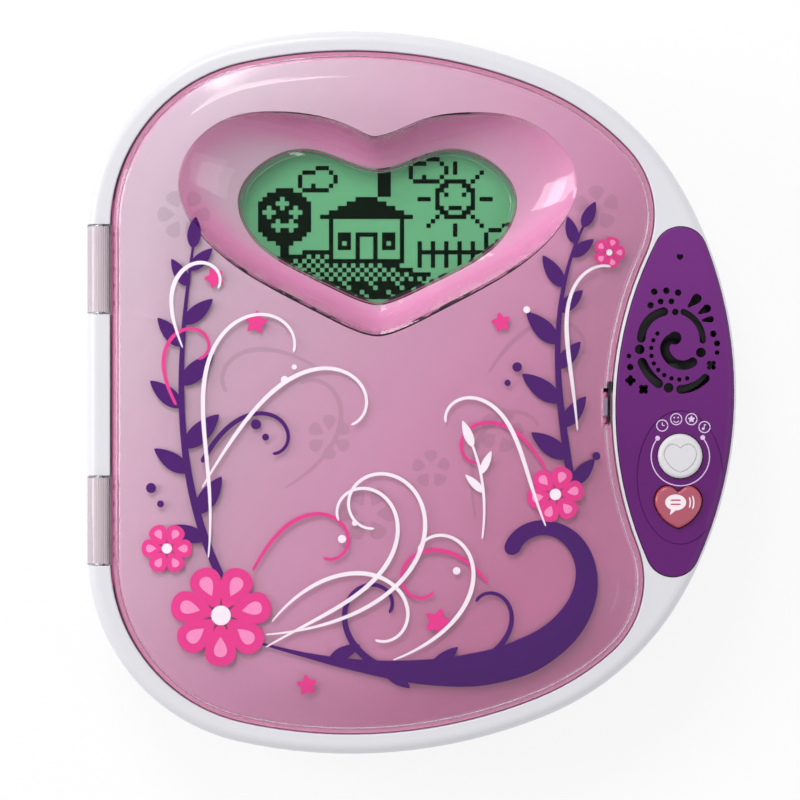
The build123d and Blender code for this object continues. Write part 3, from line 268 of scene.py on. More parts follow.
def build_plastic_group():
    """Light and dark mixed by slow noise, an uneven polish, and a height of waves and grain.

    roughness = Roughness + POLISH_SPREAD * (polish noise - NOISE_MIDDLE)
    height = WAVE_TO_GRAIN * wave noise + grain noise
    """
    group, given, out = new_group("moulded_plastic", PLASTIC_INPUTS, PLASTIC_OUTPUTS)
    colour = mix_colour(group, noise(group, MOTTLE, 3.0), given["Light"], given["Dark"])
    group.links.new(colour, out["Color"])
    polish = math_node(group, "SUBTRACT", noise(group, POLISH), NOISE_MIDDLE)
    spread = math_node(group, "MULTIPLY", polish, POLISH_SPREAD)
    group.links.new(math_node(group, "ADD", given["Roughness"], spread), out["Roughness"])
    grain = noise(group, given["Grain"])
    wave = math_node(group, "MULTIPLY", noise(group, WAVINESS, 1.0), WAVE_TO_GRAIN)
    group.links.new(math_node(group, "ADD", wave, grain), out["Height"])
    return group


plastic_group = build_plastic_group()
print("sockets of the plastic group:", ", ".join(PLASTIC_INPUTS))

# %% Moulded plastic and the rim
# The pale rim, the lower shell and the battery door come from one plastic, slightly glossy.


def plastic(name, light, dark, roughness, grain=2500.0, bump=0.004, **sockets):
    """A moulded plastic between two display colours; bump is the depth of its grain in mm."""
    made = material(name, rgb(light), roughness, **sockets)
    tree, shader = made.node_tree, principled(made)
    group = tree.nodes.new("ShaderNodeGroup")
    group.node_tree = plastic_group
    group.inputs["Light"].default_value = rgb(light)
    group.inputs["Dark"].default_value = rgb(dark)
    group.inputs["Roughness"].default_value = roughness
    group.inputs["Grain"].default_value = grain
    bumps = tree.nodes.new("ShaderNodeBump")
    bumps.inputs["Distance"].default_value = bump * MM
    tree.links.new(group.outputs["Color"], shader.inputs["Base Color"])
    tree.links.new(group.outputs["Roughness"], shader.inputs["Roughness"])
    tree.links.new(group.outputs["Height"], bumps.inputs["Height"])
    tree.links.new(bumps.outputs["Normal"], shader.inputs["Normal"])
    return made


def dress(made, *node_names):
    """Puts a material in the only slot of each of these CAD nodes."""
    for node_name in node_names:
        mesh = nodes[node_name].data
        mesh.materials.clear()
        mesh.materials.append(made)
    print(made.name, "on", ", ".join(node_names))


rim_plastic = plastic("rim_plastic", (228, 227, 231), (222, 221, 226), 0.33, Coat_Weight=0.15)
dress(rim_plastic, "top_frame", "bottom_shell", "battery_door")

# %% [markdown]
# ## Clear cover and window lens
# The cover's outer shell is clear acrylic, and so is the heart-shaped lens over the display. A
# see-through mix of shaders would be quick, but it shows neither the shell's edges nor the
# bright rolls of light along its rim. Real refraction does, and shadow rays then pass straight
# through, so that the pink shell below is lit. The lens has an anti-glare coat, so it mirrors
# less than bare plastic does.

# %% Clear plastics
ACRYLIC_IOR, COATED_IOR = 1.49, 1.18
POLISHED = 0.04


def clear_plastic(name, colour, ior):
    """Refracting plastic that lets shadow rays pass with its own colour."""
    made = material(name, rgb(colour), POLISHED, Transmission_Weight=1.0, IOR=ior)
    tree = made.node_tree
    pass_through = tree.nodes.new("ShaderNodeBsdfTransparent")
    pass_through.inputs["Color"].default_value = rgb(colour)
    path = tree.nodes.new("ShaderNodeLightPath")
    blend_shaders(tree, path.outputs["Is Shadow Ray"], principled(made), pass_through)
    return made


dress(clear_plastic("clear_cover", (252, 251, 252), ACRYLIC_IOR), "cover_shell")
dress(clear_plastic("clear_lens", (238, 250, 242), COATED_IOR), "window_lens")

# %% [markdown]
# ## Pearl pink shell
# The inner shell has a pearl finish, and its colour carries painted light: a painted sheen
# makes it pale where it faces the side light at the upper left, painted shade makes it deeper
# towards the lower right, and a brighter painted pink stands for the light on the heart funnel's
# slopes. Flakes with their own mirror colour could be simulated, but their sparkle is finer than a
# pixel here. So the painted colour follows two masks instead: the place on the shell, and how
# steeply the shell falls.

# %% Colours that follow the place or the slope


def share_of(tree, start, slope):
    """start + slope . place, held between 0 and 1, with the place in metres."""
    place = tree.nodes.new("ShaderNodeTexCoord")
    along = tree.nodes.new("ShaderNodeVectorMath")
    along.operation = "DOT_PRODUCT"
    along.inputs[1].default_value = slope
    tree.links.new(place.outputs["Object"], along.inputs[0])
    share = math_node(tree, "ADD", along.outputs["Value"], start)
    return math_node(tree, "MINIMUM", math_node(tree, "MAXIMUM", share, 0.0), 1.0)


def ramp(tree, share, stops):
    """The colour at a share between stops of (share, display colour)."""
    node = tree.nodes.new("ShaderNodeValToRGB")
    elements = node.color_ramp.elements
    elements[0].position, elements[1].position = stops[0][0], stops[-1][0]
    elements[0].color, elements[1].color = rgb(stops[0][1]), rgb(stops[-1][1])
    for position, colour in stops[1:-1]:
        elements.new(position).color = rgb(colour)
    tree.links.new(share, node.inputs["Fac"])
    return node.outputs["Color"]


def steepness(tree, flat, steep):
    """0 where the object's own normal points up by more than flat, 1 where by less than steep."""
    place = tree.nodes.new("ShaderNodeTexCoord")
    parts = tree.nodes.new("ShaderNodeSeparateXYZ")
    tree.links.new(place.outputs["Normal"], parts.inputs[0])
    span = tree.nodes.new("ShaderNodeMapRange")
    span.inputs["From Min"].default_value = flat
    span.inputs["From Max"].default_value = steep
    tree.links.new(parts.outputs["Z"], span.inputs["Value"])
    return span.outputs["Result"]


def tint(made, colour, mottle=0.15):
    """Lays a colour over the plastic's own, which stays as a faint mottle."""
    base = principled(made).inputs["Base Color"]
    own = base.links[0].from_socket
    made.node_tree.links.new(mix_colour(made.node_tree, mottle, colour, own), base)


print("masks for place and slope")

# %% Pearl pink
# From the lower right, over the middle, to the upper left: painted shade at the lower right,
# the shell's own pink in the middle, and a painted sheen at the upper left.
PEARL_SHADE_AND_SHEEN_STOPS = ((0.0, (182, 98, 140)), (0.35, (198, 132, 168)), (1.0, (193, 174, 186)))
PEARL_SHEEN_START, PEARL_SHEEN_SLOPE = 0.38, (-5.5, 3.5, 0.0)
# A brighter pink for steep slopes: painted light on the funnel's slopes.
FUNNEL_PAINTED_PINK = (212, 130, 174)
FLAT_NORMAL, STEEP_NORMAL = 0.965, 0.82
PEARL_GRAIN = 3000.0


def pearl(name, shade):
    """Pearl pink with painted light: sheen to the upper left, shade to the lower right, pink on slopes."""
    made = plastic(name, (200, 140, 170), (190, 128, 160), 0.42, PEARL_GRAIN)
    tree = made.node_tree
    stops = [(place, shade * np.array(colour)) for place, colour in PEARL_SHADE_AND_SHEEN_STOPS]
    # Painted shade and sheen by place, and a painted pink where the shell falls steeply.
    flat = ramp(tree, share_of(tree, PEARL_SHEEN_START, PEARL_SHEEN_SLOPE), stops)
    steep = steepness(tree, FLAT_NORMAL, STEEP_NORMAL)
    tint(made, mix_colour(tree, steep, flat, rgb(shade * np.array(FUNNEL_PAINTED_PINK))))
    return made


dress(pearl("pearl_pink", 1.0), "cover_inner")
liner_pink = plastic("liner_pink", (196, 70, 132), (186, 62, 124), 0.45)
dress(liner_pink, "cover_liner", "deck_plate")

# %% [markdown]
# ## Panel, buttons and keys
# The crescent panel is a satin purple, with a painted highlight that brightens it towards the
# top, where the key lamp stands. One flat purple would need a stronger lamp to show that, which
# would bleach the rim.
# The heart button is a translucent cap, redder where its edge rolls down and the plastic is
# thick. Light scattered inside it would need many more samples, so a ramp over the height
# gives the same edge.

# %% Panel
# From below the middle to the top: the lighter top is a painted highlight.
PANEL_PAINTED_LIGHT_STOPS = ((0.0, (96, 16, 108)), (1.0, (124, 44, 134)))
PANEL_LIGHT_START, PANEL_LIGHT_SLOPE = 0.2, (0.0, 10.0, 0.0)
PANEL_GRAIN, PANEL_GRAIN_DEPTH = 2000.0, 0.006
panel_purple = plastic(
    "panel_purple", (106, 28, 120), (94, 20, 108), 0.42, PANEL_GRAIN, PANEL_GRAIN_DEPTH,
    Specular_IOR_Level=0.35,
)
panel_light_share = share_of(panel_purple.node_tree, PANEL_LIGHT_START, PANEL_LIGHT_SLOPE)
tint(panel_purple, ramp(panel_purple.node_tree, panel_light_share, PANEL_PAINTED_LIGHT_STOPS))
dress(panel_purple, "control_panel")

# %% Buttons and keys


def box_of(name):
    """The lowest and the highest corner of a CAD node, in millimetres."""
    return [np.array(corner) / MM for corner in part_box(name)]


# The heart cap's edge rolls down between these depths under its top.
ROLL_START, ROLL_END = 0.15, 1.1
# From the foot of the roll up to the level top.
CAP_STOPS = ((0.0, (166, 24, 42)), (0.6, (196, 60, 78)), (1.0, (176, 82, 102)))
CAP_MOTTLE = 0.1

dress(plastic("button_white", (226, 224, 227), (220, 218, 222), 0.4), "mode_button")
dress(plastic("button_pink", (206, 108, 134), (196, 98, 124), 0.3, Coat_Weight=0.4), "ok_key")
voice_pink = plastic("voice_pink", (196, 92, 114), (186, 84, 106), 0.3, Coat_Weight=0.4)
cap_top = box_of("voice_button")[1][2]
roll_rate = 1 / (ROLL_END - ROLL_START)
roll_start = -roll_rate * (cap_top - ROLL_END)
roll_share = share_of(voice_pink.node_tree, roll_start, (0.0, 0.0, roll_rate / MM))
tint(voice_pink, ramp(voice_pink.node_tree, roll_share, CAP_STOPS), CAP_MOTTLE)
dress(voice_pink, "voice_button")
key_lilac = plastic("key_lilac", (220, 196, 222), (212, 188, 214), 0.5)
dress(key_lilac, "power_key", "left_key", "right_key", "help_key")
dress(plastic("catch_mauve", (150, 130, 150), (140, 120, 142), 0.4), "cover_catch")

# %% [markdown]
# ## Pieces inside and below
# The works show only through the grille and the lens, or when the cover stands open: black and
# grey plastics, green boards, steel, rubber, paper and the display's green glass. Each could
# have its own shader. They are small and mostly hidden, so the moulded plastic group serves
# them all, with metal made by its Metallic socket.

# %% Finishes of the works
black = plastic("black_plastic", (34, 33, 36), (26, 25, 28), 0.5)
dress(black, "speaker_basket", "microphone", "latch_solenoid", "display_holder", "speaker_cone")
dress(plastic("board_green", (28, 96, 56), (22, 84, 48), 0.35), "main_board", "button_board")
dress(plastic("soft_silicone", (184, 184, 188), (174, 174, 180), 0.6), "button_pad", "key_mat")
dress(plastic("foot_rubber", (58, 57, 60), (50, 49, 52), 0.75), "feet")
steel = plastic("steel", (176, 176, 180), (160, 160, 166), 0.3, Metallic=1.0)
dress(
    steel, "hinge_pins", "case_screws", "battery_door_screw", "cover_screws",
    "button_board_screws", "latch_bolt", "battery_contacts", "speaker_magnet",
)
dress(plastic("cell_wrap", (96, 100, 116), (84, 88, 104), 0.3), "batteries")
dress(plastic("paper", (240, 236, 242), (232, 228, 236), 0.8), "notepad")
dress(plastic("lcd_green", (112, 170, 132), (104, 160, 124), 0.35), "display_glass")

# %% [markdown]
# ## Shapes of the print
# The cover's artwork is printed on the inside of the clear shell. An image on the shell would
# be quickest, but the script draws all of it by formulas instead, with two kinds of shapes. A
# scroll is a line whose bend grows along it, as a pen line does that ends in a curl. A fan is a
# closed outline filled from its middle, for leaves, petals and berries. Both are flat at first,
# and are gathered in sheets, one for each colour.

# %% Scrolls
POINT_STEP, FEWEST_POINTS = 0.7, 10


def scroll(x, y, heading, length, bend_start, bend_end, power=1.0):
    """A line of this length in mm whose bend k, in degrees per mm, changes along it.

    k(s) = bend_start + (bend_end - bend_start) * (s / length)^power
    heading(s) = heading + integral of k(s) ds
    x(s) = x + integral of cos(heading(s)) ds,  y(s) = y + integral of sin(heading(s)) ds
    """
    count = max(FEWEST_POINTS, int(length / POINT_STEP))
    share = np.linspace(0, 1, count)
    bend = bend_start + (bend_end - bend_start) * share**power
    step = length / (count - 1)
    turn = np.concatenate(([0.0], np.cumsum((bend[1:] + bend[:-1]) / 2 * step)))
    angle = np.radians(heading + turn)
    middle = (angle[1:] + angle[:-1]) / 2
    across = np.concatenate(([0.0], np.cumsum(np.cos(middle) * step)))
    up = np.concatenate(([0.0], np.cumsum(np.sin(middle) * step)))
    return np.column_stack((x + across, y + up))


print("points of a scroll 50 mm long:", len(scroll(0, 0, 0, 50, 0, 9)))

# %% Sheets of shapes
SHAPE_STEP = 0.0008


def new_sheet():
    """Points and faces of one colour, with no shape yet."""
    return {"points": [], "levels": [], "faces": [], "count": 0}


def add_shape(sheet, points, *face_arrays):
    """Adds a shape that lies SHAPE_STEP mm above the one before it, so that no faces coincide."""
    sheet["levels"].append(np.full(len(points), len(sheet["levels"]) * SHAPE_STEP))
    sheet["points"].append(points)
    for faces in face_arrays:
        sheet["faces"] += (faces + sheet["count"]).tolist()
    sheet["count"] += len(points)


print("step between shapes:", SHAPE_STEP, "mm")

# %% Strokes
BLUNTNESS = 0.04


def normals(line):
    """Unit vectors to the left of a line, at each of its points."""
    way = np.gradient(line, axis=0)
    way /= np.linalg.norm(way, axis=1)[:, None]
    return np.column_stack((-way[:, 1], way[:, 0]))


def stroke(sheet, line, widths, columns):
    """A ribbon with round ends; widths in mm are spread over the line's length.

    point(s, c) = line(s) + c * w(s) / 2 * normal(s), with c from -1 to 1 over the columns, and
    w(s) falls as a half circle does within half a width of either end
    """
    steps = np.linalg.norm(np.diff(line, axis=0), axis=1)
    along = np.concatenate(([0.0], np.cumsum(steps)))
    half = np.interp(along / along[-1], np.linspace(0, 1, len(widths)), widths) / 2
    near_end = np.minimum(along, along[-1] - along)
    half = half * np.sqrt(1 - (1 - np.clip(near_end / half, BLUNTNESS, 1)) ** 2)
    share = np.linspace(-1, 1, columns + 1)
    points = line[:, None, :] + normals(line)[:, None, :] * (half[:, None] * share)[:, :, None]
    index = np.arange(points.shape[0] * points.shape[1]).reshape(points.shape[:2])
    faces = np.stack((index[:-1, 1:], index[:-1, :-1], index[1:, :-1], index[1:, 1:]), -1)
    add_shape(sheet, points.reshape(-1, 2), faces.reshape(-1, 4))


trial = new_sheet()
stroke(trial, scroll(0, 0, 0, 50, 0, 9), (1.0, 1.0), 2)
print("faces of its stroke:", len(trial["faces"]))

# %% Fans


def fan(sheet, outline, middle, rings=4):
    """A closed outline filled by rings: point(r, j) = middle + r / rings * (outline(j) - middle)."""
    middle = np.asarray(middle, float)
    shares = np.arange(1, rings + 1) / rings
    points = middle + (outline[None, :, :] - middle) * shares[:, None, None]
    points = np.vstack((middle[None, :], points.reshape(-1, 2)))
    index = 1 + np.arange(rings * len(outline)).reshape(rings, -1)
    after = np.roll(index, -1, axis=1)
    core = np.stack((np.zeros_like(index[0]), index[0], after[0]), -1)
    bands = np.stack((index[:-1], index[1:], after[1:], after[:-1]), -1)
    add_shape(sheet, points, core, bands.reshape(-1, 4))


def turned(points, x, y, turn):
    """Points turned by this many degrees and moved to (x, y)."""
    angle = math.radians(turn)
    spin = np.array(((math.cos(angle), math.sin(angle)), (-math.sin(angle), math.cos(angle))))
    return points @ spin + (x, y)


print("fans")

# %% Leaves and petals
LEAF_POINTS = 32


def leaf(sheet, x, y, turn, length, width):
    """A leaf from its stalk at (x, y), filled from 0.45 of its length.

    u = (1 - cos t) / 2,  v = width / 2 * sin(t) * |sin(t)|^0.5 * (1.2 - 0.5 u)
    """
    t = np.linspace(0, 2 * np.pi, LEAF_POINTS, endpoint=False)
    u = (1 - np.cos(t)) / 2
    v = width / 2 * np.sin(t) * np.abs(np.sin(t)) ** 0.5 * (1.2 - 0.5 * u)
    outline = turned(np.column_stack((length * u, v)), x, y, turn)
    fan(sheet, outline, turned(np.array([[length * 0.45, 0.0]]), x, y, turn)[0])


def petal(sheet, x, y, turn, start, end, width):
    """A drop on a flower's ray, from start to end of it, filled from 0.6 of its length.

    u = (1 - cos t) / 2,  v = 0.75 * width * sin(t) * u^0.6
    """
    t = np.linspace(0, 2 * np.pi, LEAF_POINTS, endpoint=False)
    u = (1 - np.cos(t)) / 2
    v = width * 0.75 * np.sin(t) * u**0.6
    outline = turned(np.column_stack((start + (end - start) * u, v)), x, y, turn)
    fan(sheet, outline, turned(np.array([[start + (end - start) * 0.6, 0.0]]), x, y, turn)[0])


print("points round a leaf:", LEAF_POINTS)

# %% Discs, rings and stars
DISC_POINTS, RING_POINTS, STAR_POINTS = 28, 48, 60


def circle_line(x, y, radius, angle):
    """Points of a circle at these angles: (x + radius cos a, y + radius sin a)."""
    return np.column_stack((x + radius * np.cos(angle), y + radius * np.sin(angle)))


def disc(sheet, x, y, radius):
    """A filled circle."""
    angle = np.linspace(0, 2 * np.pi, DISC_POINTS, endpoint=False)
    fan(sheet, circle_line(x, y, radius, angle), (x, y), 3)


def ring(sheet, x, y, radius, width):
    """A circle drawn with a pen of this width."""
    angle = np.linspace(0, 2 * np.pi, RING_POINTS)
    stroke(sheet, circle_line(x, y, radius, angle), (width, width), 1)


def star(sheet, x, y, radius, turn):
    """A five-pointed star with slightly rounded points.

    reach(t) = radius * (0.55 + 0.45 * wave(t)^1.3), where wave is 1 at a point and 0 between two
    """
    t = np.linspace(0, 2 * np.pi, STAR_POINTS, endpoint=False)
    wave = np.abs(((t * 5 / (2 * np.pi)) % 1) - 0.5) * 2
    reach = radius * (0.55 + 0.45 * wave**1.3)
    fan(sheet, turned(circle_line(0, 0, reach, t), x, y, turn), (x, y))


print("points round a disc, a ring and a star:", DISC_POINTS, RING_POINTS, STAR_POINTS)

# %% Flowers and leaves on a stem
# Places along a daisy's radius: where a petal starts, and where its paler drop starts and ends.
PETAL_START, DROP_START, DROP_END = 0.1, 0.42, 0.82
# Widths as shares of a petal's room on the circle, and of the petal.
PETAL_FULLNESS, DROP_FULLNESS = 0.62, 0.42


def blossom(sheet, x, y, count, turn, start, end, width):
    """Petals all round a middle, each between two distances from it."""
    for index in range(count):
        petal(sheet, x, y, turn + 360 * index / count, start, end, width)


def daisy(sheet, inner_sheet, x, y, radius, count, turn):
    """A flower whose petals each have a paler drop on them."""
    width = 2 * math.pi * radius / count * PETAL_FULLNESS
    blossom(sheet, x, y, count, turn, radius * PETAL_START, radius, width)
    start, end = radius * DROP_START, radius * DROP_END
    blossom(inner_sheet, x, y, count, turn, start, end, width * DROP_FULLNESS)


def leaves(sheet, line, places):
    """Leaves on a line; each has its share of the length, lean, length and width."""
    for share, lean, length, width in places:
        index = min(int(share * (len(line) - 1)), len(line) - 2)
        way = line[index + 1] - line[index]
        leaf(sheet, *line[index], math.degrees(math.atan2(way[1], way[0])) + lean, length, width)


print("flowers and leaves")

# %% [markdown]
# ## Drawing of the print
# The drawing is laid out in layers, as a printer does with one screen for each ink: dark purple
# vines, pink flowers, pale drops on the petals, and fine white scrolls on top. Free curves
# could be traced by hand, point by point. A few numbers for each scroll are enough instead, and
# the pen line stays smooth.

# %% Purple wave
purple, pink, pale, white = new_sheet(), new_sheet(), new_sheet(), new_sheet()
# Each pen is a list of widths from the start of its line to the end.
WAVE_PEN = (0.5, 1.6, 4.0, 7.5, 10.5, 11.5, 9.5, 6.5, 4.6, 5.2)
# Each leaf on a line: its share of the line's length, its lean, length and width.
WAVE_LEAVES = ((0.16, 38, 11, 4.2), (0.27, -30, 10, 4.0), (0.36, 42, 12, 4.6))
# A broad wave rises along the bottom and rolls up at the right, with two shoots.
bottom_wave = scroll(-50, -78, -17, 158, 0.22, 6.6, 3.1)
stroke(purple, bottom_wave, WAVE_PEN, 10)
leaves(purple, bottom_wave, WAVE_LEAVES)
stroke(purple, scroll(-8, -87, 158, 50, -2.2, -12.0, 1.8), (2.6, 1.9, 1.3, 1.1), 4)
stroke(purple, scroll(22, -84, 30, 34, 2.2, 13.0, 1.6), (2.0, 1.6, 1.2, 1.0), 4)
print("shapes of the wave:", len(purple["levels"]))

# %% Purple stems
LEFT_LEAVES = (
    (0.12, 50, 12, 5.2), (0.20, -48, 14, 6.0), (0.33, 46, 13, 5.6), (0.40, -52, 15, 6.4),
    (0.52, 48, 13, 5.6), (0.59, -46, 14, 6.0), (0.70, 44, 12, 5.0), (0.77, -44, 12, 5.0),
    (0.88, 38, 10, 4.2), (0.93, -38, 10, 4.2), (0.995, 4, 10, 4.4),
)
RIGHT_LEAVES = (
    (0.06, -50, 11, 4.8), (0.16, 46, 14, 6.0), (0.27, -44, 12, 5.2), (0.36, 48, 15, 6.2),
    (0.48, -42, 11, 4.8), (0.57, 46, 14, 6.0), (0.68, -40, 10, 4.4), (0.77, 44, 12, 5.0),
    (0.88, -34, 9, 4.0), (0.93, 38, 9, 4.0), (0.995, 0, 9, 4.0),
)
# Each berry: its middle and radius.
PURPLE_BERRIES = (
    (-82, -30, 1.6), (-79, -35, 1.1), (-49, -10, 1.6), (-46, -14, 1.1), (33, 8, 1.5),
    (30, 3, 1.0), (58, -20, 1.3),
)
# The left stem starts behind the big daisy, and a curl leaves it.
left_stem = scroll(-60, -58, 116, 106, -0.55, -0.1)
stroke(purple, left_stem, (2.6, 2.4, 2.1, 1.8, 1.3, 0.8), 4)
leaves(purple, left_stem, LEFT_LEAVES)
stroke(purple, scroll(-66, -22, 62, 46, -1.0, -13.0, 1.8), (1.6, 1.5, 1.2, 1.0), 4)
# The right stem follows the waist.
right_stem = scroll(51, -34, 99, 88, 0.05, -0.85)
stroke(purple, right_stem, (2.4, 2.4, 2.0, 1.7, 1.2, 0.8), 4)
leaves(purple, right_stem, RIGHT_LEAVES)
for x, y, radius in PURPLE_BERRIES:
    disc(purple, x, y, radius)
print("purple shapes:", len(purple["levels"]))

# %% Pink flowers
# Each daisy: its middle, radius, number of petals, turn and the radius of its white eye.
DAISIES = (
    (-60, -70, 16.0, 7, 12, 3.1), (-77, -49, 8.0, 6, 0, 1.6),
    (45, -32, 9.0, 6, 10, 1.8), (62, 44, 5.0, 5, 0, 1.0),
)
# Each star: its middle, radius and turn.
STARS = ((-49, 22, 3.8, 10), (28, 22, 3.2, 30), (8, -72, 4.4, 0), (-33, -92, 3.4, 24), (-62, 36, 3.4, 40))
# Each scroll: x, y, heading, length, bend at its start and at its end, and power.
PINK_SCROLLS = (
    (-74, -4, 118, 44, -1.0, -15.0, 1.5), (-50, -56, 62, 54, -0.6, -12.0, 1.6),
    (24, -60, 128, 50, 1.2, 12.0, 1.4), (42, -24, 120, 46, 0.8, 13.0, 1.6),
)
PINK_PEN = (0.9, 1.3, 1.1, 0.9)
for x, y, radius, count, turn, _ in DAISIES:
    daisy(pink, pale, x, y, radius, count, turn)
for x, y, radius, turn in STARS:
    star(pink, x, y, radius, turn)
for curve in PINK_SCROLLS:
    stroke(pink, scroll(*curve), PINK_PEN, 2)
for x, y, _, _, _, eye_radius in DAISIES:
    disc(white, x, y, eye_radius)
print("pink shapes:", len(pink["levels"]))

# %% White scrolls
WHITE_SCROLLS = (
    (-64, -52, 84, 104, 0.5, -7.5, 2.4), (-66, -30, 60, 84, -0.2, -9.0, 2.6),
    (-72, 14, 112, 44, -0.6, -13.0, 1.6), (-46, -76, 4, 118, 0.6, 8.5, 2.2),
    (-46, -80, 30, 92, -0.2, 9.0, 2.0), (-44, -72, 52, 70, -1.2, -9.0, 2.2),
    (-6, -84, 20, 66, 1.0, 9.0, 2.2), (42, -42, 112, 62, -0.4, 11.0, 2.6),
    (52, -12, 95, 60, 0.2, -8.0, 3.0),
)
WHITE_PEN = (0.5, 1.2, 1.4, 1.1, 0.8)
SHOOT_LEAVES = ((0.5, 40, 8, 2.6), (0.7, -36, 8, 2.6), (0.99, 0, 9, 3.0))
WHITE_BERRIES = (
    (-22, -46, 1.3), (-18, -41, 0.9), (14, -56, 1.2), (36, 26, 1.1), (-40, 4, 1.2), (-37, 8, 0.8),
)
for curve in WHITE_SCROLLS:
    stroke(white, scroll(*curve), WHITE_PEN, 2)
white_shoot = scroll(22, -46, 82, 30, 0.8, 1.2)
stroke(white, white_shoot, (0.6, 0.9, 0.8), 2)
leaves(white, white_shoot, SHOOT_LEAVES)
for x, y, radius in WHITE_BERRIES:
    disc(white, x, y, radius)
print("white shapes:", len(white["levels"]))

# %% [markdown]
# ## Print under the clear surface
# The flat sheets have to follow the domed cover. A shrinkwrap modifier would do, but it pulls
# edges sideways. Here a ray falls straight down through each point, and the point stays where
# the ray meets the dome. The sheets lie 0.09 to 0.2 mm under the surface, so the gloss passes
# over the print, and its shadow falls on the pink shell. The inks are matt: the gloss is the
# cover's alone.

# %% Dropping a sheet onto a surface
RAY_START = 60 * MM


def surface_tree(name):
    """A CAD node's mesh as a tree for casting rays."""
    mesh = nodes[name].data
    corners = [vertex.co for vertex in mesh.vertices]
    return BVHTree.FromPolygons(corners, [face.vertices for face in mesh.polygons])


def make_piece(name, points, faces, made, body, smooth):
    """A mesh of these points in metres, which rides a body."""
    mesh = bpy.data.meshes.new(name)
    mesh.from_pydata(points.tolist(), [], faces)
    mesh.polygons.foreach_set("use_smooth", [smooth] * len(mesh.polygons))
    mesh.materials.append(made)
    obj = bpy.data.objects.new(name, mesh)
    scene.collection.objects.link(obj)
    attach(obj, body)


def drop_sheet(name, sheet, made, body, surface, lift):
    """A piece from a sheet: z(x, y) = the surface's height + lift + the shape's level, in mm."""
    flat = np.vstack(sheet["points"]) * MM
    down = Vector((0, 0, -1))
    z = np.array([surface.ray_cast(Vector((x, y, RAY_START)), down)[0].z for x, y in flat])
    z = z + (lift + np.concatenate(sheet["levels"])) * MM
    make_piece(name, np.column_stack((flat, z)), sheet["faces"], made, body, True)


def lay_sheet(name, sheet, made, body, height):
    """A flat piece from a sheet: z = height + the shape's level, in mm."""
    flat = np.vstack(sheet["points"]) * MM
    z = (height + np.concatenate(sheet["levels"])) * MM
    make_piece(name, np.column_stack((flat, z)), sheet["faces"], made, body, True)


clear_surface, pink_surface = surface_tree("cover_shell"), surface_tree("cover_inner")
print("surfaces of the clear and the pink shell")

# %% Inks
INKS = (
    ("print_purple", purple, (84, 6, 120), (74, 2, 108), -0.20),
    ("print_pink", pink, (236, 70, 156), (226, 58, 146), -0.15),
    ("print_pale", pale, (246, 160, 205), (240, 148, 196), -0.115),
    ("print_white", white, (246, 238, 244), (240, 230, 238), -0.09),
)
for name, sheet, light, dark, lift in INKS:
    ink = plastic(name, light, dark, 0.5, Specular_IOR_Level=0.0)
    drop_sheet(name, sheet, ink, "cover", clear_surface, lift)
    print(name, sheet["count"], "points")

# %% [markdown]
# ## Relief on the pink shell
# The pink shell has a faint raised pattern of its own colour, which shows only where light
# grazes it. A bump could fake it, but it would lose the edges that catch the light. So it is a
# thin sheet of flowers and scrolls a little above the shell, in a pearl painted slightly darker:
# painted shade, so that the pattern shows.

# %% Relief
# The relief's pearl is painted slightly darker than the shell: painted shade.
RELIEF_LIFT, RELIEF_PAINTED_SHADE = 0.025, 0.91
RELIEF_PETAL_START, RELIEF_FULLNESS = 0.3, 0.5
RELIEF_PEN = (0.8, 1.6, 1.2)
# Each flower: its middle, radius, number of petals and turn.
RELIEF_FLOWERS = (
    (-14, -38, 9, 6, 0), (6, -24, 6, 5, 20), (-26, -14, 7, 6, 30), (28, -12, 7, 5, 0),
    (-72, 56, 8, 6, 0), (58, 58, 7, 5, 20),
)
RELIEF_SCROLLS = (
    (-40, -30, 30, 50, 1.0, 9.0, 2.0), (20, -40, 100, 50, -0.6, -9.0, 2.0),
    (-30, 8, 150, 40, 1.0, 10.0, 2.0), (24, 6, 60, 44, -1.0, -10.0, 2.0),
)
relief = new_sheet()
for x, y, radius, count, turn in RELIEF_FLOWERS:
    petal_width = 2 * math.pi * radius / count * RELIEF_FULLNESS
    blossom(relief, x, y, count, turn, radius * RELIEF_PETAL_START, radius, petal_width)
for curve in RELIEF_SCROLLS:
    stroke(relief, scroll(*curve), RELIEF_PEN, 2)
relief_pearl = pearl("pearl_relief_painted_shade", RELIEF_PAINTED_SHADE)
drop_sheet("shell_relief", relief, relief_pearl, "cover", pink_surface, RELIEF_LIFT)
print("relief points:", relief["count"])

# %% [markdown]
# ## Moulded lip
# Through the clear wall the pink shell's lip shows as a paler band all round the cover, with a
# dark line outside it where the two shells meet; that dark line is painted shade. Loops cut
# into the shell would do, but the CAD piece stays as it is. So two flat rings follow the
# shell's own outer edge, which rays from outside find at one height: a pink one for the lip,
# and a dark magenta one of painted shade.

# %% Lip and seam
CASE_MIDDLE = (-0.012, 0.0)
WALL_HEIGHT, LIP_HEIGHT = 0.030, 33.3
WALL_POINTS, OVERLAP = 900, 0.05
RAY_REACH = 0.2
LIP_WIDTH, LIP_PLACE = 1.0, 0.4
SEAM_WIDTH, SEAM_PLACE = 0.5, 1.15


def wall_line(surface, height):
    """The outer wall at a height: where rays from outside meet it, in mm.

    The rays turn by a full circle and OVERLAP radians more, so that a ring on it closes.
    """
    line = []
    for angle in np.linspace(0, 2 * np.pi + OVERLAP, WALL_POINTS):
        way = Vector((math.cos(angle), math.sin(angle), 0))
        hit = surface.ray_cast(Vector((*CASE_MIDDLE, height)) + RAY_REACH * way, -way)[0]
        line.append((hit.x / MM, hit.y / MM))
    return np.array(line)


def outwards(line, distance):
    """The line moved away from its left-hand side, which is inside when it runs anticlockwise."""
    return line - distance * normals(line)


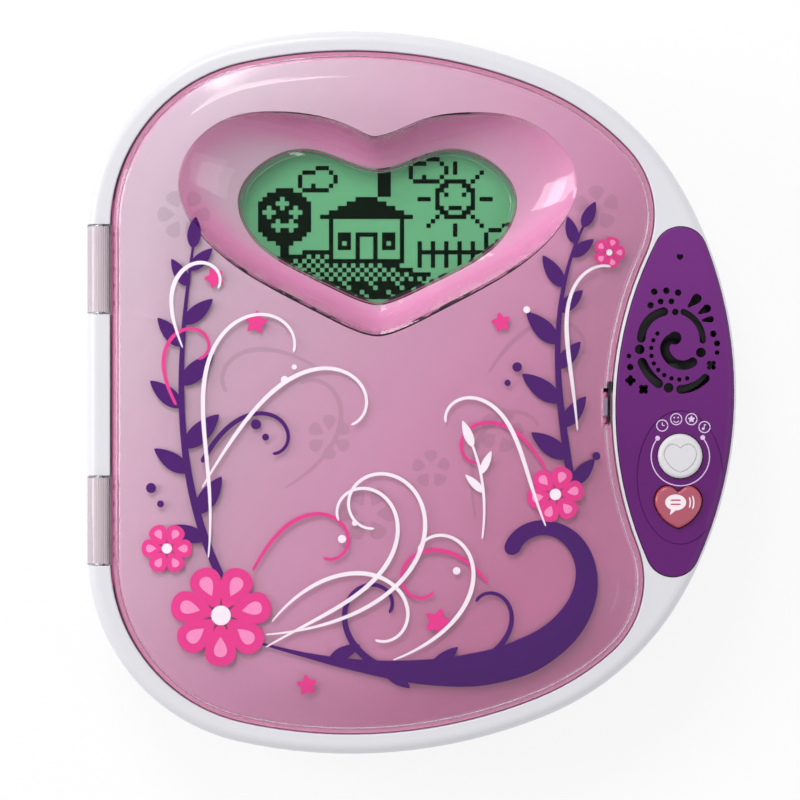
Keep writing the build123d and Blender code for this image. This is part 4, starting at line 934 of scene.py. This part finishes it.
shell_wall = wall_line(pink_surface, WALL_HEIGHT)
lip, seam = new_sheet(), new_sheet()
stroke(lip, outwards(shell_wall, LIP_PLACE), (LIP_WIDTH, LIP_WIDTH), 2)
stroke(seam, outwards(shell_wall, SEAM_PLACE), (SEAM_WIDTH, SEAM_WIDTH), 1)
lip_pink = plastic("lip_pink", (208, 132, 170), (200, 124, 162), 0.45)
# The seam's dark magenta is painted shade.
painted_seam_shade = plastic("painted_seam_shade", (142, 44, 88), (130, 38, 80), 0.5)
lay_sheet("shell_lip", lip, lip_pink, "cover", LIP_HEIGHT)
lay_sheet("shell_seam_painted_shade", seam, painted_seam_shade, "cover", LIP_HEIGHT)
print("points round the shell:", len(shell_wall))

# %% [markdown]
# ## Bead of painted light in the gap
# The narrow gap round the cover is not black in the photo but pink, and what colours it can't
# be seen. Light that only strays into a gap needs far more samples than the rest of the
# picture. So a thin pink bead on the cover's wall stands for it, as painted light in the gap: a
# ribbon along the clear shell's outer wall, and a second one beside the hinge, where the gap is
# wider.

# %% Bead of painted light
BELOW_KNUCKLES = 0.0268
BEAD_HEIGHT, BEAD_WIDTH = 32.7, 0.4
SPINE_BEAD_WIDTH, SPINE_REACH, SPINE_POINTS = 0.6, 64.0, 40
clear_wall = wall_line(clear_surface, BELOW_KNUCKLES)
bead = new_sheet()
stroke(bead, outwards(clear_wall, BEAD_WIDTH / 2), (BEAD_WIDTH, BEAD_WIDTH), 1)
spine_x = np.full(SPINE_POINTS, clear_wall[:, 0].min() - SPINE_BEAD_WIDTH / 2)
spine_line = np.column_stack((spine_x, np.linspace(SPINE_REACH, -SPINE_REACH, SPINE_POINTS)))
stroke(bead, spine_line, (SPINE_BEAD_WIDTH, SPINE_BEAD_WIDTH), 1)
# The bead's pink is painted light in the gap.
painted_gap_light = plastic("painted_gap_light", (186, 92, 136), (176, 84, 128), 0.5)
lay_sheet("gap_bead_painted_light", bead, painted_gap_light, "cover", BEAD_HEIGHT)
print("bead points:", bead["count"])

# %% [markdown]
# ## Hinge sleeves
# The clear knuckles look empty and stripy when only their thin steel pin shows through. In the
# photo something pale and finely ribbed fills them, as a sleeve round the pin would. A plain
# cylinder with a bump would do, but the knuckle's curved wall widens it like a lens, and a
# bump's ribs would not shift with it. So the ribs are in the mesh: a tube whose radius waves
# with the angle.

# %% Hinge sleeves
SLEEVE_RADIUS, SLEEVE_BORE, SLEEVE_LENGTH = 2.75, 1.15, 27.0
RIB_DEPTH, RIB_COUNT, POINTS_TO_RIB = 0.05, 26, 8
# From a pin's outer end to the middle of its knuckle.
HALF_PIN = 18.25
pins_low, pins_high = box_of("hinge_pins")
# The pins are meshed in facets, so their axis is taken to a tenth of a millimetre.
axis_x, _, axis_z = np.round((pins_low + pins_high) / 2, 1)
angle = np.linspace(0, 2 * np.pi, POINTS_TO_RIB * RIB_COUNT, endpoint=False)


def sleeve(name, y, made):
    """A ribbed tube along Y round the hinge's axis, with its bore and both ends.

    r(a) = SLEEVE_RADIUS + RIB_DEPTH cos(RIB_COUNT a) outside, and SLEEVE_BORE inside
    """
    outer = SLEEVE_RADIUS + RIB_DEPTH * np.cos(RIB_COUNT * angle)
    bore = np.full_like(angle, SLEEVE_BORE)
    edges = ((bore, -0.5), (bore, 0.5), (outer, 0.5), (outer, -0.5))
    rings = [
        np.column_stack((
            axis_x + radius * np.cos(angle),
            np.full_like(angle, y + side * SLEEVE_LENGTH),
            axis_z + radius * np.sin(angle),
        ))
        for radius, side in edges
    ]
    index = np.arange(len(edges) * len(angle)).reshape(len(edges), -1)
    after, inner = np.roll(index, -1, axis=1), np.roll(index, -1, axis=0)
    faces = np.stack((index, after, np.roll(after, -1, axis=0), inner), -1)
    make_piece(name, np.vstack(rings) * MM, faces.reshape(-1, 4).tolist(), made, "cover", False)


sleeve_grey = plastic("sleeve_grey", (204, 192, 196), (192, 178, 184), 0.5)
sleeve("hinge_sleeve_upper", pins_high[1] - HALF_PIN, sleeve_grey)
sleeve("hinge_sleeve_lower", pins_low[1] + HALF_PIN, sleeve_grey)
print("hinge axis at x", axis_x, "and z", axis_z)

# %% [markdown]
# ## Picture on the display
# The display is a liquid crystal glass of square dots. It shows a generic landscape: a house, a
# tree, clouds and the sun. An image could be laid on the glass, but its dots would blur from
# near. So the picture is drawn by rules into a table of ones and zeros, and each one becomes a
# square just above the glass. Rows count up from the bottom, and columns from the left.

# %% Table of dots
COLUMNS, ROWS = 62, 34
dots = np.zeros((ROWS, COLUMNS), bool)
rows, columns = np.mgrid[0:ROWS, 0:COLUMNS]


def dot_disc(column, row, radius, value=True):
    """Sets the dots whose middle is within radius of (column, row)."""
    dots[(columns - column) ** 2 + (rows - row) ** 2 <= radius**2] = value


def dot_box(first_column, first_row, last_column, last_row, value=True):
    """Sets the dots of a rectangle, with its last column and row."""
    dots[first_row : last_row + 1, first_column : last_column + 1] = value


def dot_circle(column, row, radius, thick):
    """Lights a circle drawn with a pen of this many dots."""
    distance = np.sqrt((columns - column) ** 2 + (rows - row) ** 2)
    dots[np.abs(distance - radius) <= thick / 2] = True


print("table of", COLUMNS, "by", ROWS, "dots")

# %% Hills, house and tree
HILL_ROW, HILL_RISE, HILL_START, HILL_LENGTH = 8, 3.2, 6, 9.0
GRASS_ROWS = 5
LEFT_WALL, RIGHT_WALL, SILL, EAVES, ROOF_STEPS = 20, 36, 9, 18, 10
# Chequered hills end in a line, over a strip of grass at the bottom.
hill = HILL_ROW + HILL_RISE * np.sin((columns - HILL_START) / HILL_LENGTH)
dots[(rows < hill) & ((rows + columns) % 2 == 0)] = True
dots[np.abs(rows - hill) < 0.6] = True
dots[(rows < GRASS_ROWS) & ((columns // 2 + rows) % 3 != 0)] = True
# The house is cleared, then gets its ground line and walls.
dot_box(LEFT_WALL, SILL, RIGHT_WALL, EAVES, False)
dot_box(LEFT_WALL, SILL, RIGHT_WALL, SILL)
for wall in (LEFT_WALL, RIGHT_WALL):
    dot_box(wall, SILL, wall, EAVES)
# The pitched roof narrows by one dot on either side and rises by half a dot with each step.
for step in range(ROOF_STEPS):
    roof_row = EAVES + 1 + step // 2
    dot_box(LEFT_WALL - 2 + step, roof_row, RIGHT_WALL + 2 - step, roof_row)
CHIMNEY, DOOR, DOORWAY = (31, 24, 33, 29), (26, 9, 30, 15), (27, 10, 29, 14)
WINDOWS = ((22, 12, 24, 15), (32, 12, 34, 15))
dot_box(*CHIMNEY)
dot_box(*DOOR)
dot_box(*DOORWAY, False)
for window in WINDOWS:
    dot_box(*window)
    dots[window[1] + 1, window[0] + 1] = False
# The tree has a trunk, a round crown and fruit.
TRUNK, CROWN = (9, 8, 10, 15), (9.5, 19, 6.3)
FRUIT = ((6, 20), (9, 22), (12, 20), (8, 17), (11, 17))
dot_box(*TRUNK)
dot_disc(*CROWN)
for column, row in FRUIT:
    dot_disc(column, row, 1.0, False)
print("dots lit by the hills, the house and the tree:", dots.sum())

# %% Sun, clouds and fence
SUN_COLUMN, SUN_ROW, SUN_RADIUS = 48, 23, 4.2
RAY_LENGTHS, RAY_ANGLE = (6, 7, 8), 45
CLOUDS = ((15, 27), (40, 29), (57, 14))
FENCE_START, FENCE_END, FENCE_PITCH, RAIL_ROW = 40, 58, 3, 11
FLOWER_COLUMNS, FLOWER_ROW = (43, 49, 55), 4
dot_circle(SUN_COLUMN, SUN_ROW, SUN_RADIUS, 1.3)
ray_angles = np.radians(np.arange(0, 360, RAY_ANGLE))
for reach in RAY_LENGTHS:
    ray_rows = np.rint(SUN_ROW + reach * np.sin(ray_angles)).astype(int)
    dots[ray_rows, np.rint(SUN_COLUMN + reach * np.cos(ray_angles)).astype(int)] = True
# The sun has two eyes and a mouth.
dots[SUN_ROW + 1, [SUN_COLUMN - 2, SUN_COLUMN + 2]] = True
dot_box(SUN_COLUMN - 1, SUN_ROW - 2, SUN_COLUMN + 1, SUN_ROW - 2)
# Each cloud is two round puffs, cleared inside.
for column, row in CLOUDS:
    dot_circle(column, row, 2.2, 1.0)
    dot_circle(column + 3, row + 0.6, 2.6, 1.0)
    dot_disc(column, row, 1.2, False)
    dot_disc(column + 3, row, 1.7, False)
dot_box(FENCE_START, RAIL_ROW, FENCE_END, RAIL_ROW)
for column in range(FENCE_START, FENCE_END + 1, FENCE_PITCH):
    dot_box(column, RAIL_ROW - 3, column, RAIL_ROW + 2)
for column in FLOWER_COLUMNS:
    dot_disc(column, FLOWER_ROW, 1.5, False)
    dots[FLOWER_ROW, column] = True
print("dots lit in all:", dots.sum())

# %% Squares on the glass
DOT = 1.41
PICTURE_DROP, DOT_LIFT = 0.6, 0.05
UNIT_SQUARE = np.array(((0, 0), (1, 0), (1, 1), (0, 1)))
glass_low, glass_high = box_of("display_glass")
picture_middle = (glass_low + glass_high)[:2] / 2 - (0, PICTURE_DROP)
lit = np.argwhere(dots)
corners = (lit[:, ::-1] - (COLUMNS / 2, ROWS / 2)) * DOT + picture_middle
squares = corners[:, None, :] + UNIT_SQUARE * DOT
picture = new_sheet()
add_shape(picture, squares.reshape(-1, 2), np.arange(4 * len(lit)).reshape(-1, 4))
lcd_dots = plastic("lcd_dots", (10, 22, 12), (6, 16, 8), 0.7, Specular_IOR_Level=0.0)
lay_sheet("display_picture", picture, lcd_dots, "base", glass_high[2] + DOT_LIFT)
print("dots lit:", len(lit), "of", dots.size)

# %% [markdown]
# ## Marks on the control panel
# Thin pale lines are printed on the purple panel: a curve round the mode button and four small
# signs above it, here a clock, a face, a star and a note. They could be raised in CAD, but ink
# has almost no thickness. So they are strokes and fans again, in a flat sheet a fiftieth of a
# millimetre above the panel.

# %% Arcs, bars and small signs
INK_LIFT = 0.02
ARC_STEP, FEWEST_ARC_POINTS, BAR_POINTS = 6, 8, 8


def arc(sheet, x, y, radius, start, end, width):
    """Part of a circle between two angles in degrees."""
    count = max(FEWEST_ARC_POINTS, int(abs(end - start) / ARC_STEP))
    stroke(sheet, circle_line(x, y, radius, np.radians(np.linspace(start, end, count))), (width, width), 2)


def bar(sheet, x0, y0, x1, y1, width):
    """A straight line between two points."""
    share = np.linspace(0, 1, BAR_POINTS)[:, None]
    stroke(sheet, np.array((x0, y0)) + share * np.array((x1 - x0, y1 - y0)), (width, width), 2)


def clock_sign(sheet, x, y):
    """Two hands of a clock."""
    bar(sheet, x, y, x, y + 1.0, 0.3)
    bar(sheet, x, y, x + 0.8, y, 0.3)


def face_sign(sheet, x, y):
    """Two eyes and a smile."""
    disc(sheet, x - 0.6, y + 0.5, 0.26)
    disc(sheet, x + 0.6, y + 0.5, 0.26)
    arc(sheet, x, y - 0.1, 0.9, 205, 335, 0.28)


def star_sign(sheet, x, y):
    """A star that stands on two points."""
    star(sheet, x, y, 1.15, 18)


def note_sign(sheet, x, y):
    """A musical note: its head, stem and flag."""
    disc(sheet, x - 0.4, y - 0.5, 0.42)
    bar(sheet, x - 0.05, y - 0.5, x - 0.05, y + 0.9, 0.24)
    bar(sheet, x - 0.05, y + 0.9, x + 0.6, y + 0.6, 0.3)


print("arcs, bars and signs")

# %% Panel marks
CURVE_MIDDLE, CURVE_RADIUS, CURVE_START, CURVE_END, CURVE_WIDTH = (84.6, -20.2), 9.2, 141, 401, 0.35
CURVE_DOTS, CURVE_DOT_RADIUS = ((77.45, -14.4), (91.65, -14.2)), 0.75
SIGNS = (
    (78.9, -10.4, clock_sign), (83.3, -8.4, face_sign), (88.1, -8.4, star_sign), (92.2, -10.9, note_sign),
)
SIGN_RADIUS, SIGN_LINE = 1.75, 0.32
marks = new_sheet()
arc(marks, *CURVE_MIDDLE, CURVE_RADIUS, CURVE_START, CURVE_END, CURVE_WIDTH)
for x, y in CURVE_DOTS:
    disc(marks, x, y, CURVE_DOT_RADIUS)
for x, y, _ in SIGNS:
    ring(marks, x, y, SIGN_RADIUS, SIGN_LINE)
for x, y, draw_sign in SIGNS:
    draw_sign(marks, x, y)
mark_ink = plastic("mark_ink", (226, 206, 232), (218, 198, 226), 0.5)
panel_top = box_of("control_panel")[1][2]
lay_sheet("panel_marks", marks, mark_ink, "base", panel_top + INK_LIFT)
print("shapes on the panel:", len(marks["levels"]))

# %% [markdown]
# ## Mark on the voice button
# A small white sign on the heart button tells that it listens for a voice. Here it is a speech
# bubble with two sound waves. A decal in the cap's own material would do, but its edge would
# be as coarse as its image. So the sign is laid flat on the cap's level top, as the panel's
# marks are, with two pink bars across the bubble in a sheet of their own.

# %% Voice mark
BUBBLE_MIDDLE, BUBBLE_SIZE, BUBBLE_POINTS = (83.0, -34.6), (3.3, 2.5), 40
BUBBLE_TAIL, TAIL_MIDDLE = np.array(((81.6, -36.2), (83.4, -36.8), (81.2, -38.6))), (82.1, -37.0)
WAVE_RADII, WAVE_ANGLE, PEN = (4.6, 5.7), 22, 0.45
WORD_ROWS, WORD_START, WORD_END = (-33.9, -35.2), 81.3, 84.7
t = np.linspace(0, 2 * np.pi, BUBBLE_POINTS, endpoint=False)
bubble = BUBBLE_MIDDLE + BUBBLE_SIZE * np.column_stack((np.cos(t), np.sin(t)))
voice, words = new_sheet(), new_sheet()
fan(voice, bubble, BUBBLE_MIDDLE)
fan(voice, BUBBLE_TAIL, TAIL_MIDDLE, 2)
for radius in WAVE_RADII:
    arc(voice, *BUBBLE_MIDDLE, radius, -WAVE_ANGLE, WAVE_ANGLE, PEN)
for y in WORD_ROWS:
    bar(words, WORD_START, y, WORD_END, y, PEN)
voice_ink = plastic("voice_ink", (250, 240, 244), (244, 232, 238), 0.5)
lay_sheet("voice_mark", voice, voice_ink, "voice_button_body", cap_top + INK_LIFT)
word_ink = plastic("word_ink", (196, 70, 104), (188, 62, 96), 0.5)
lay_sheet("voice_mark_lines", words, word_ink, "voice_button_body", cap_top + 1.5 * INK_LIFT)
print("shapes on the voice button:", len(voice["levels"]) + len(words["levels"]))

# %% [markdown]
# ## Ruled lines on the notepad
# The notepad lies in its tray under the cover, ruled for writing, with a margin at the left. A
# stripe pattern in the paper's material would do, but real lines stop short of the edges. So
# each line is a thin bar, placed from the notepad's own box.

# %% Ruled lines
LINE_PITCH, LINE_MARGIN, LINE_WIDTH = 7.0, 6.0, 0.3
MARGIN_PLACE, MARGIN_END, MARGIN_LIFT = 18, 2, 0.05
page_low, page_high = box_of("notepad")
ruling, margin = new_sheet(), new_sheet()
line_start, line_end = page_low[0] + LINE_MARGIN, page_high[0] - LINE_MARGIN
for y in np.arange(page_low[1] + LINE_MARGIN, page_high[1] - LINE_MARGIN, LINE_PITCH):
    bar(ruling, line_start, y, line_end, y, LINE_WIDTH)
margin_x = page_low[0] + MARGIN_PLACE
bar(margin, margin_x, page_low[1] + MARGIN_END, margin_x, page_high[1] - MARGIN_END, LINE_WIDTH)
rule_ink = plastic("rule_ink", (188, 160, 206), (180, 152, 198), 0.6)
margin_ink = plastic("margin_ink", (226, 120, 170), (218, 112, 162), 0.6)
lay_sheet("page_lines", ruling, rule_ink, "base", page_high[2] + INK_LIFT)
lay_sheet("page_margin", margin, margin_ink, "base", page_high[2] + MARGIN_LIFT)
print("lines on the page:", len(ruling["levels"]))

# %% [markdown]
# ## Signs on the keys
# Each of the five keys on the deck has a printed sign: power, left, a tick, right and a lamp
# for help. The signs could be cut into the keys, but print is what such soft keys have. Each
# sign is drawn round the middle of its key, and rides it when it is pressed.

# %% Key signs
key_ink = plastic("key_ink", (120, 60, 140), (112, 54, 132), 0.5)


def power_sign(sheet, x, y):
    """An open ring with a bar in its gap."""
    arc(sheet, x, y, 2.0, 120, 420, 0.45)
    bar(sheet, x, y + 0.3, x, y + 2.6, 0.45)


def arrow_sign(sheet, x, y, side):
    """A triangle that points left where side is -1, and right where it is 1."""
    outline = np.array(((x + side * 2.2, y), (x - side * 1.4, y + 2.0), (x - side * 1.4, y - 2.0)))
    fan(sheet, outline[::side], (x - side * 0.2, y), 2)


def left_sign(sheet, x, y):
    """An arrow to the left."""
    arrow_sign(sheet, x, y, -1)


def right_sign(sheet, x, y):
    """An arrow to the right."""
    arrow_sign(sheet, x, y, 1)


def tick_sign(sheet, x, y):
    """A tick: a short bar down and a long one up."""
    bar(sheet, x - 2.0, y + 0.8, x - 0.6, y - 0.8, 0.6)
    bar(sheet, x - 0.6, y - 0.8, x + 2.2, y + 2.4, 0.6)


def lamp_sign(sheet, x, y):
    """A lamp: a ring over two bars."""
    ring(sheet, x, y + 0.7, 1.6, 0.4)
    bar(sheet, x - 0.8, y - 1.5, x + 0.8, y - 1.5, 0.4)
    bar(sheet, x - 0.5, y - 2.3, x + 0.5, y - 2.3, 0.4)


KEY_SIGNS = {
    "power_key": power_sign, "left_key": left_sign, "ok_key": tick_sign,
    "right_key": right_sign, "help_key": lamp_sign,
}
for key, draw_sign in KEY_SIGNS.items():
    key_low, key_high = box_of(key)
    key_x, key_y = (key_low[:2] + key_high[:2]) / 2
    sign = new_sheet()
    draw_sign(sign, key_x, key_y)
    lay_sheet(key + "_sign", sign, key_ink, key + "_body", key_high[2] + INK_LIFT)
    print(key, "has", len(sign["levels"]), "shapes")
